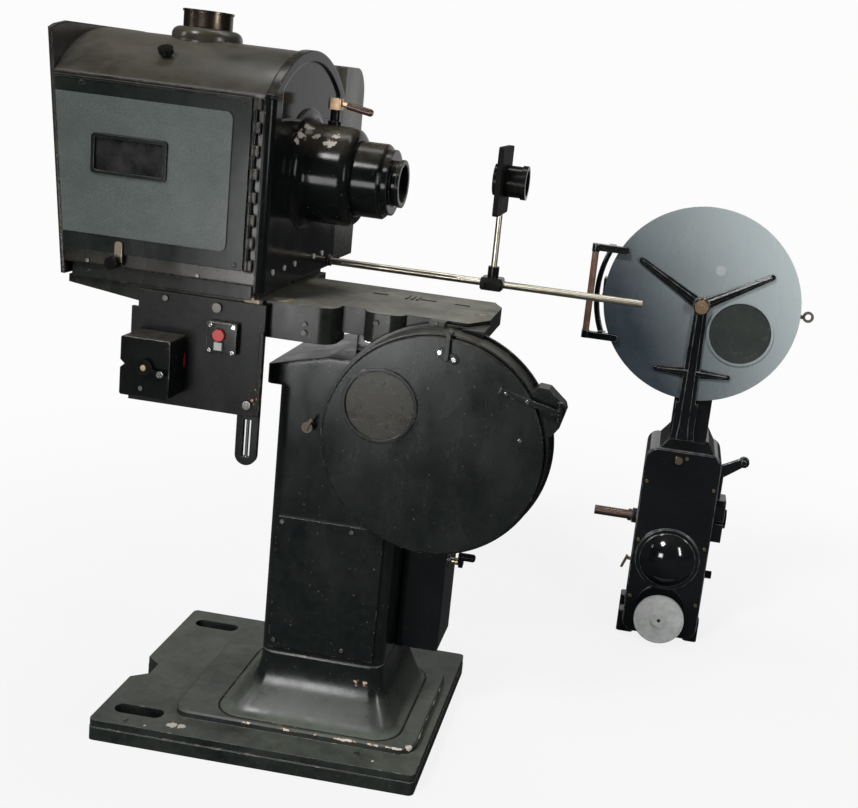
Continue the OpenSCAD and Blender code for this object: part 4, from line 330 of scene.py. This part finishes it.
MAT = {
    "base": worn_paint("base_paint", (0.008, 0.011, 0.010), (0.040, 0.046, 0.040), rough=(0.18, 0.42),
                       dust=0.92, dust_color=(0.145, 0.160, 0.132), specks=0.4, shine=0.35,
                       chip_color=(0.66, 0.63, 0.55), rust_color=(0.26, 0.12, 0.05), marks=PAD_MARKS),
    "foot": worn_paint("column_paint", (0.004, 0.006, 0.006), (0.016, 0.020, 0.018), rough=(0.14, 0.3),
                       dust=0.5, soft=0.012, specks=0.35, marks=[((0.33, 0.0, 0.99), 0.09, 0.55)]),
    "skirt": worn_paint("foot_paint", (0.004, 0.006, 0.006), (0.016, 0.020, 0.018), rough=(0.15, 0.28),
                        dust=1.7, dust_color=(0.105, 0.118, 0.098), soft=0.004, specks=0.35, shine=0.42,
                        fade=((0, 0, -1), -0.132, -0.104, (0.030, 0.034, 0.030)),
                        rust_color=(0.26, 0.12, 0.05),
                        marks=[((0.185, -0.142, 0.164), 0.034, 0.60),
                               ((0.206, -0.142, 0.160), 0.028, 0.62)]),
    "cast": worn_paint("cast_paint", (0.004, 0.006, 0.006), (0.018, 0.022, 0.020), rough=(0.16, 0.36),
                       dust=0.6, specks=0.45, shine=0.35),
    "plate": worn_paint("switch_plate_paint", (0.004, 0.005, 0.005), (0.022, 0.023, 0.020),
                        rough=(0.24, 0.42), dust=0.6, specks=0.3, speckle=0.4, shine=0.18,
                        marks=[((-0.060, -0.205, 0.800), 0.06, 0.66),
                               ((-0.052, -0.205, 0.853), 0.045, 0.62)]),
    "bed": worn_paint("bed_paint", (0.006, 0.008, 0.007), (0.026, 0.028, 0.024), rough=(0.18, 0.36),
                      dust=1.0, dust_color=(0.36, 0.35, 0.29), specks=0.5, shine=0.2,
                      marks=[((-0.082, -0.203, 0.990), 0.042, 1.0), ((-0.034, -0.160, 1.004), 0.060, 1.0),
                             ((0.36, -0.03, 1.0), 0.06, 0.7)]),
    "sheet": worn_paint("sheet_paint", (0.006, 0.006, 0.005), (0.044, 0.037, 0.026), rough=(0.18, 0.38),
                        dust=0.75, dust_color=(0.12, 0.108, 0.08), speckle=0.35, soft=0.008,
                        grain=(0.45, 1, 1), specks=0.25,
                        # Lighter towards the roof's ridge: a painted highlight where light grazes the top.
                        fade=((0, 0.45, 0.89), 1.27, 1.37, (0.085, 0.078, 0.060)),
                        marks=[((x, -0.238, 1.042), 0.03, 0.64)
                               for x in (-0.39, -0.33, -0.27, -0.2, -0.14)]),
    "leaf": worn_paint("door_edge_paint", (0.006, 0.009, 0.008), (0.020, 0.026, 0.022),
                       rough=(0.16, 0.34), dust=0.4, speckle=0.35, rub_and_highlight=0.3, shine=0.22,
                       marks=[((-0.345, -0.236, 1.40), 0.012, 0.72),
                              ((-0.07, -0.236, 1.15), (0.012, 0.02, 0.1), 0.72),
                              ((-0.07, -0.236, 1.32), (0.012, 0.02, 0.1), 0.70)]),
    # Its pale rub colour on the ribs and edges is mostly a painted highlight, with some rubbed paint.
    "gloss": worn_paint("gloss_paint", (0.003, 0.004, 0.005), (0.008, 0.010, 0.011), rough=(0.05, 0.14),
                        chips=0.6, dust=0.15, soft=0.006, rub_and_highlight=0.9, rub_and_highlight_color=(0.52, 0.56, 0.56),
                        specks=0.2, shine=0.7),
    "box": worn_paint("box_paint", (0.003, 0.004, 0.004), (0.012, 0.013, 0.012), rough=(0.08, 0.2),
                      chips=0.9, soft=0.004, dust=0.7, dust_color=(0.16, 0.145, 0.12), rub_and_highlight=0.5, specks=0.3,
                      patches=[((-0.219, -0.217, 0.857), (0.014, 0.0045, 0.019), (0.40, 0.018, 0.015))]),
    # Its edge lightening along the front casting's arch is a painted highlight, with some rubbed paint.
    "nose": worn_paint("nose_paint", (0.004, 0.005, 0.005), (0.012, 0.014, 0.014), rough=(0.07, 0.2),
                       chips=0.7, dust=0.75, dust_color=(0.13, 0.112, 0.08), soft=0.006, rub_and_highlight=0.35,
                       specks=0.5, shine=0.15, chip_color=(0.52, 0.51, 0.45),
                       marks=[((-0.051, -0.078, 1.328), 0.034, 0.9), ((0.014, -0.078, 1.322), 0.034, 0.88),
                              ((-0.042, -0.052, 1.345), 0.03, 0.86), ((-0.053, -0.093, 1.318), 0.028, 0.86),
                              ((0.020, -0.062, 1.338), 0.026, 0.84), ((-0.02, -0.066, 1.33), 0.024, 0.8)]),
    "door": worn_paint("door_paint", (0.050, 0.064, 0.058), (0.098, 0.118, 0.108), rough=(0.38, 0.55),
                       peel=0.0003, dust=0.0, speckle=1.3, chips=0.2),
    "blue": worn_paint("magazine_paint", (0.040, 0.056, 0.072), (0.085, 0.108, 0.122), rough=(0.2, 0.36),
                       chips=0.3, dust=0.1, speckle=0.3, rub_and_highlight=0.3,
                       # Lighter towards the right and the top: painted sheen where the light falls, not the
                       # paint's own tone.
                       fade=((0.85, 0, 0.53), 1.04, 1.48, (0.56, 0.63, 0.64)),
                       patches=[((0.877, 0.625, 1.074), (0.014, 0.02, 0.014), (0.52, 0.57, 0.56))]),
    "steel": metal("bright_steel", (0.07, 0.066, 0.06), (0.30, 0.29, 0.27), (0.3, 0.5)),
    "dull": metal("dull_steel", (0.16, 0.145, 0.12), (0.40, 0.385, 0.35), (0.3, 0.55)),
    "dark_steel": metal("dark_steel", (0.03, 0.028, 0.025), (0.13, 0.125, 0.115), (0.35, 0.55)),
    "chrome": metal("chrome", (0.50, 0.50, 0.49), (0.82, 0.82, 0.81), (0.08, 0.2)),
    "shaft": metal("brown_shaft", (0.13, 0.09, 0.07), (0.42, 0.31, 0.25), (0.24, 0.4), depth=0.00002),
    "brass": metal("old_brass", (0.24, 0.18, 0.10), (0.58, 0.50, 0.34), (0.22, 0.42)),
    "rod": metal("pale_rod", (0.42, 0.38, 0.28), (0.74, 0.70, 0.58), (0.26, 0.42), stretch=(0.1, 1, 1),
                 depth=0.00001),
    "copper": metal("copper_nut", (0.42, 0.26, 0.15), (0.80, 0.58, 0.40), (0.3, 0.45)),
    "tan": metal("tan_tab", (0.10, 0.08, 0.06), (0.26, 0.22, 0.17), (0.35, 0.55)),
    "pipe": metal("brown_pipe", (0.035, 0.028, 0.022), (0.13, 0.105, 0.08), (0.22, 0.4)),
    "mirror": mirror_material(),
    "alloy": moulded("dull_alloy", (0.50, 0.515, 0.50), (0.74, 0.75, 0.74), (0.22, 0.4), grain=90),
    "black": moulded("black_plastic", (0.004, 0.004, 0.004), (0.012, 0.012, 0.011), (0.1, 0.25), shine=0.2),
    "board": moulded("board_black", (0.006, 0.006, 0.006), (0.018, 0.018, 0.017), (0.5, 0.66), shine=0.06),
    "red": moulded("red_plastic", (0.32, 0.012, 0.010), (0.55, 0.03, 0.025)),
    "grey": moulded("grey_plastic", (0.26, 0.28, 0.26), (0.44, 0.46, 0.43)),
    "brown": moulded("brown_grip", (0.16, 0.085, 0.055), (0.36, 0.22, 0.155), (0.2, 0.36), grain=60,
                     stretch=(1, 1, 0.15)),
    "dark_brown": moulded("dark_grip", (0.035, 0.016, 0.010), (0.12, 0.055, 0.032), (0.15, 0.3), grain=60,
                          stretch=(0.15, 1, 1)),
    "knob_brown": moulded("dull_knob", (0.06, 0.045, 0.03), (0.16, 0.12, 0.08), (0.3, 0.5)),
    "carbon": moulded("carbon_rod", (0.02, 0.02, 0.02), (0.06, 0.06, 0.06), (0.5, 0.7)),
    "grey_glass": moulded("grey_glass", (0.034, 0.041, 0.037), (0.066, 0.076, 0.070), (0.16, 0.3), grain=700),
    "mesh_glass": mesh_glass(),
    "dark_glass": glass("dark_glass", (0.008, 0.009, 0.008), 0.1, 0.0),
    "lens_glass": glass("lens_glass", (0.6, 0.66, 0.68), 0.02, 0.9),
}

LOOK = {
    "base": "base_plate",
    "bed": "bed slide_base",
    "foot": "column",
    "cast": "column_cover lower_shell lower_door lower_latch slotted_bar",
    "plate": "switch_plate",
    "box": "switch_box button_box",
    "sheet": "lamp_body rear_plate",
    "leaf": "lamp_door",
    "nose": "front_casting nose_tube",
    "gloss": "head_housing head_cover lens_mount spider handle_casting drive_box",
    "door": "door_panel",
    "blue": "upper_shell upper_door",
    "steel": "screws lamp_rivets",
    "dark_steel": "bed_screws",
    "dull": "lower_spindle upper_latch door_latch lamp_carriage",
    "alloy": "handwheel",
    "rod": "lens_rod lens_post",
    "brass": "framing_lever switch_knob clutch_lever",
    "shaft": "input_shaft",
    "copper": "upper_spindle dowser_lever",
    "pipe": "chimney_pipe",
    "black": "rod_clamp framing_knob slide_lens projection_lens roof_knob",
    "board": "lens_board",
    "red": "red_button",
    "grey": "grey_button",
    "brown": "handle_grip",
    "dark_brown": "dowser_grip",
    "knob_brown": "column_knob",
    "carbon": "carbons",
    "dark_glass": "window_glass",
    "grey_glass": "upper_glass",
    "mesh_glass": "lower_glass",
    "lens_glass": "condenser",
    "mirror": "mirror",
}


def dress(obj, key):
    """Gives the whole object one finish."""
    obj.data.materials.clear()
    obj.data.materials.append(MAT[key])


def dress_parts(name, rules):
    """Gives each face of a node whose centre passes a rule that rule's finish."""
    mesh = NODES[name].data
    for key, rule in rules:
        mesh.materials.append(MAT[key])
        for face in mesh.polygons:
            if rule(*face.center):
                face.material_index = len(mesh.materials) - 1


def ring(centre, r0, r1):
    """A rule: the face lies r0 to r1 from an axis along y through (x, z)."""
    return lambda x, y, z: r0 <= math.hypot(x - centre[0], z - centre[1]) < r1


# Axes along y, as (x, z).
SWITCH, DOOR_KNOB, TILT_STUD = (-0.260, 0.852), (-0.356, 1.044), (0.130, 0.925)
DOOR_SCREWS = [(0.4553, 0.8891), (0.499, 0.8782), (0.493, 0.796), (0.3139, 0.9522), (0.3441, 0.9418)]
SWITCH_CAP, SWITCH_RIM = (0.0065, 0.026), (0.026, 0.06)     # radii
KNOB_R, DOOR_SCREW_R, HUB_R, STUD_R = 0.0145, 0.0062, 0.0065, 0.0125
SLOT_X, SLOT_ROD_R, SLOT_Z = -0.076, 0.0036, (0.672, 0.745)
DOOR_SCREW_Y, BAR_SCREW_Y = -0.2252, -0.2135                # the screws stand out beyond these
WING_X, TAB_Z, HEAD_X = 0.3625, 1.0585, 0.6                 # the clutch's wing, the latch's tab, the head
FRONT_X, FRONT_Z = -0.09, 1.1                               # the front casting's low rivets

for key, names in LOOK.items():
    for name in names.split():
        dress(NODES[name], key)
undressed = set(NODES) - {name for names in LOOK.values() for name in names.split()}
assert not undressed, undressed

dress_parts("clutch_lever", [("black", lambda x, y, z: x > WING_X)])
dress_parts("switch_knob", [("black", ring(SWITCH, *SWITCH_CAP)), ("chrome", ring(SWITCH, *SWITCH_RIM))])
dress_parts("door_latch", [("black", ring(DOOR_KNOB, 0.0, KNOB_R)), ("tan", lambda x, y, z: z > TAB_Z)])
dress_parts("slotted_bar", [
    ("chrome", lambda x, y, z: abs(x - SLOT_X) < SLOT_ROD_R and SLOT_Z[0] < z < SLOT_Z[1]),
    ("chrome", lambda x, y, z: y < BAR_SCREW_Y)])
dress_parts("lower_door", [("chrome", lambda x, y, z: y < DOOR_SCREW_Y and any(
    ring(screw, 0.0, DOOR_SCREW_R)(x, y, z) for screw in DOOR_SCREWS))])
dress_parts("screws", [("brass", lambda x, y, z: x > HEAD_X)])
dress_parts("lamp_rivets", [("alloy", lambda x, y, z: x > FRONT_X and z < FRONT_Z)])
low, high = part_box("handwheel")
hub = ((low[0] + high[0]) / 2, (low[2] + high[2]) / 2)
dress_parts("handwheel", [("dark_steel", ring(hub, 0.0, HUB_R))])
low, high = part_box("button_box")
dress_parts("bed_screws", [("chrome", ring(TILT_STUD, 0.0, STUD_R)),
                           ("chrome", lambda x, y, z: low[0] < x < high[0] and low[2] < z < high[2])])


# ---------------------------------------------------------------- the column's foot
# The outline at the walls and how far the flare reaches from it at its lower end.
FOOT_X, FOOT_Y = (-0.040, 0.238), (-0.137, 0.137)
REAR_REACH, SIDE_REACH, FAR_REACH = 0.080, 0.062, 0.010
SKIN = 0.0004  # off the column's own walls and the pad
PAD_Z, BELOW_COVER, CORNER_R = 0.064, 0.012, 0.028
FOOT_STEPS, CORNER_STEPS = 26, 10
# The surface's tilt from upright, by shares of the profile's length: (from, to, degrees at from, at to).
FOOT_TILT = ((0.0, 0.10, 0, 3), (0.10, 0.45, 3, 42), (0.45, 0.78, 42, 50), (0.78, 1.0, 50, 89))


def foot_profile():
    """Pairs of how far out and how far down the flare has come, each 0 at the top and 1 at the foot."""
    points = [(0.0, 0.0)]
    for k in range(FOOT_STEPS):
        t = (k + 0.5) / FOOT_STEPS
        tilt = next(a + (b - a) * (t - t0) / (t1 - t0) for t0, t1, a, b in FOOT_TILT if t <= t1)
        out, down = points[-1]
        points.append((out + math.sin(math.radians(tilt)), down + math.cos(math.radians(tilt))))
    return [(out / points[-1][0], down / points[-1][1]) for out, down in points]


def foot_ring(bm, out, z, r):
    """One level of the flare: a rectangle with round corners."""
    rear, side, far = (SKIN + reach * out for reach in (REAR_REACH, SIDE_REACH, FAR_REACH))
    x0, x1, y0, y1 = FOOT_X[0] - rear, FOOT_X[1] + side, FOOT_Y[0] - side, FOOT_Y[1] + far
    centres = ((x1 - r, y1 - r), (x0 + r, y1 - r), (x0 + r, y0 + r), (x1 - r, y0 + r))
    verts = []
    for quarter, (x, y) in enumerate(centres):
        for i in range(CORNER_STEPS + 1):
            b = math.pi / 2 * (quarter + i / CORNER_STEPS)
            verts.append(bm.verts.new((x + r * math.cos(b), y + r * math.sin(b), z)))
    return verts


def foot_skin():
    """The column's cast foot: a closed sweep that flares out of the walls down to the raised pad."""
    low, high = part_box("column_cover")
    top, floor = low[2] - BELOW_COVER, PAD_Z + SKIN
    bm = bmesh.new()
    rings = []
    for k, (out, down) in enumerate(foot_profile()):
        r = CORNER_R + (0.5 * (SKIN + SIDE_REACH * out) if k else 0)
        rings.append(foot_ring(bm, out, top - (top - floor) * down, r))
    for a, b in zip(rings, rings[1:]):
        for i in range(len(a)):
            j = (i + 1) % len(a)
            bm.faces.new((a[i], b[i], b[j], a[j])).smooth = True
    bm.faces.new(rings[0])
    bm.faces.new(rings[-1])
    bmesh.ops.recalc_face_normals(bm, faces=bm.faces)
    mesh = bpy.data.meshes.new("foot_skin")
    bm.to_mesh(mesh)
    bm.free()
    obj = bpy.data.objects.new("foot_skin", mesh)
    scene.collection.objects.link(obj)
    dress(obj, "skirt")
    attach(obj, "stand")


foot_skin()


# ---------------------------------------------------------------- floor and light
WHITE = 0.975           # the background's strength to the camera
FLOOR_GLOW = 0.85       # the floor's own share of it near the object
DIM = 0.05              # the world's strength to every other ray
FLOOR_HALF = 30
FLOOR_DROP = 0.0005     # keeps the floor clear of the object's underside
FADE_CENTRE, FADE_R = (0.35, 0.2, 0), 10.0
FADE_SPAN = (0.74, 0.90)  # of the way in from that radius: 2.6 m and 1.0 m from the centre


def stage_material():
    """White floor: its own light for the camera, with enough diffuse near the object to hold the
    shadow, and the plain white of the world farther out, so that no horizon shows."""
    t = Tree("pale_floor")
    path = t.add("ShaderNodeLightPath")
    glow, far = t.add("ShaderNodeEmission"), t.add("ShaderNodeEmission")
    glow.inputs["Strength"].default_value = FLOOR_GLOW
    far.inputs["Strength"].default_value = WHITE
    add = t.add("ShaderNodeAddShader")
    fade, mix = t.add("ShaderNodeMixShader"), t.add("ShaderNodeMixShader")
    out = next(n for n in t.nt.nodes if n.type == "OUTPUT_MATERIAL")
    t.finish(t.mix(t.noise(1.5, 2), (0.10, 0.10, 0.099), (0.105, 0.105, 0.104)), roughness=0.9,
             specular_ior_level=0.0)
    t.link(t.bsdf.outputs[0], add.inputs[0])
    t.link(glow.outputs[0], add.inputs[1])
    t.link(t.span(t.near(FADE_CENTRE, FADE_R), *FADE_SPAN), fade.inputs["Fac"])
    t.link(far.outputs[0], fade.inputs[1])
    t.link(add.outputs[0], fade.inputs[2])
    t.link(path.outputs["Is Camera Ray"], mix.inputs["Fac"])
    t.link(t.bsdf.outputs[0], mix.inputs[1])
    t.link(fade.outputs[0], mix.inputs[2])
    t.link(mix.outputs[0], out.inputs["Surface"])
    return t.mat


def make_floor():
    mesh = bpy.data.meshes.new("floor")
    r = FLOOR_HALF
    mesh.from_pydata([(-r, -r, 0), (r, -r, 0), (r, r, 0), (-r, r, 0)], [], [(0, 1, 2, 3)])
    floor = bpy.data.objects.new("floor", mesh)
    floor.location.z = -FLOOR_DROP
    scene.collection.objects.link(floor)
    mesh.materials.append(stage_material())


def make_world():
    world = bpy.data.worlds.new("studio")
    scene.world = world
    world.use_nodes = True
    nt = world.node_tree
    back = next(n for n in nt.nodes if n.type == "BACKGROUND")
    path = nt.nodes.new("ShaderNodeLightPath")
    span = nt.nodes.new("ShaderNodeMapRange")
    span.inputs["To Min"].default_value = DIM
    span.inputs["To Max"].default_value = WHITE
    nt.links.new(path.outputs["Is Camera Ray"], span.inputs["Value"])
    back.inputs["Color"].default_value = (1, 1, 1, 1)
    nt.links.new(span.outputs["Result"], back.inputs["Strength"])


def lamp(name, kind, pos, target, power, size, size_y=None):
    """An area lamp of that width and height, or a sun of that angle."""
    data = bpy.data.lights.new(name, kind)
    data.energy = power
    if kind == "AREA":
        data.shape = "RECTANGLE"
        data.size, data.size_y = size, size_y
    else:
        data.angle = size
    obj = bpy.data.objects.new(name, data)
    obj.location = pos
    obj.rotation_mode = "QUATERNION"
    obj.rotation_quaternion = (Vector(target) - Vector(pos)).to_track_quat("-Z", "Y")
    scene.collection.objects.link(obj)


make_floor()
make_world()
lamp("key", "SUN", (-1.2, -2.6, 3.6), (0.2, 0, 0.8), 1.5, math.radians(12))
lamp("window_left", "AREA", (-0.68, -3.0, 0.68), (0.2, 0, 0.7), 30, 0.85, 0.8)
lamp("soft_left", "AREA", (-3.0, -1.6, 2.4), (-0.2, 0, 1.0), 16, 0.3, 1.2)
lamp("soft_right", "AREA", (2.9, -1.6, 1.6), (0.7, 0.5, 0.8), 28, 0.25, 1.4)
lamp("soft_top", "AREA", (0.2, 0.6, 3.6), (0.2, 0, 0.9), 24, 2.4, 0.5)
lamp("wall_behind", "AREA", (-0.4, 3.6, 1.7), (0.1, 0, 1.1), 22, 5.0, 2.2)
scene.view_settings.view_transform = "Standard"
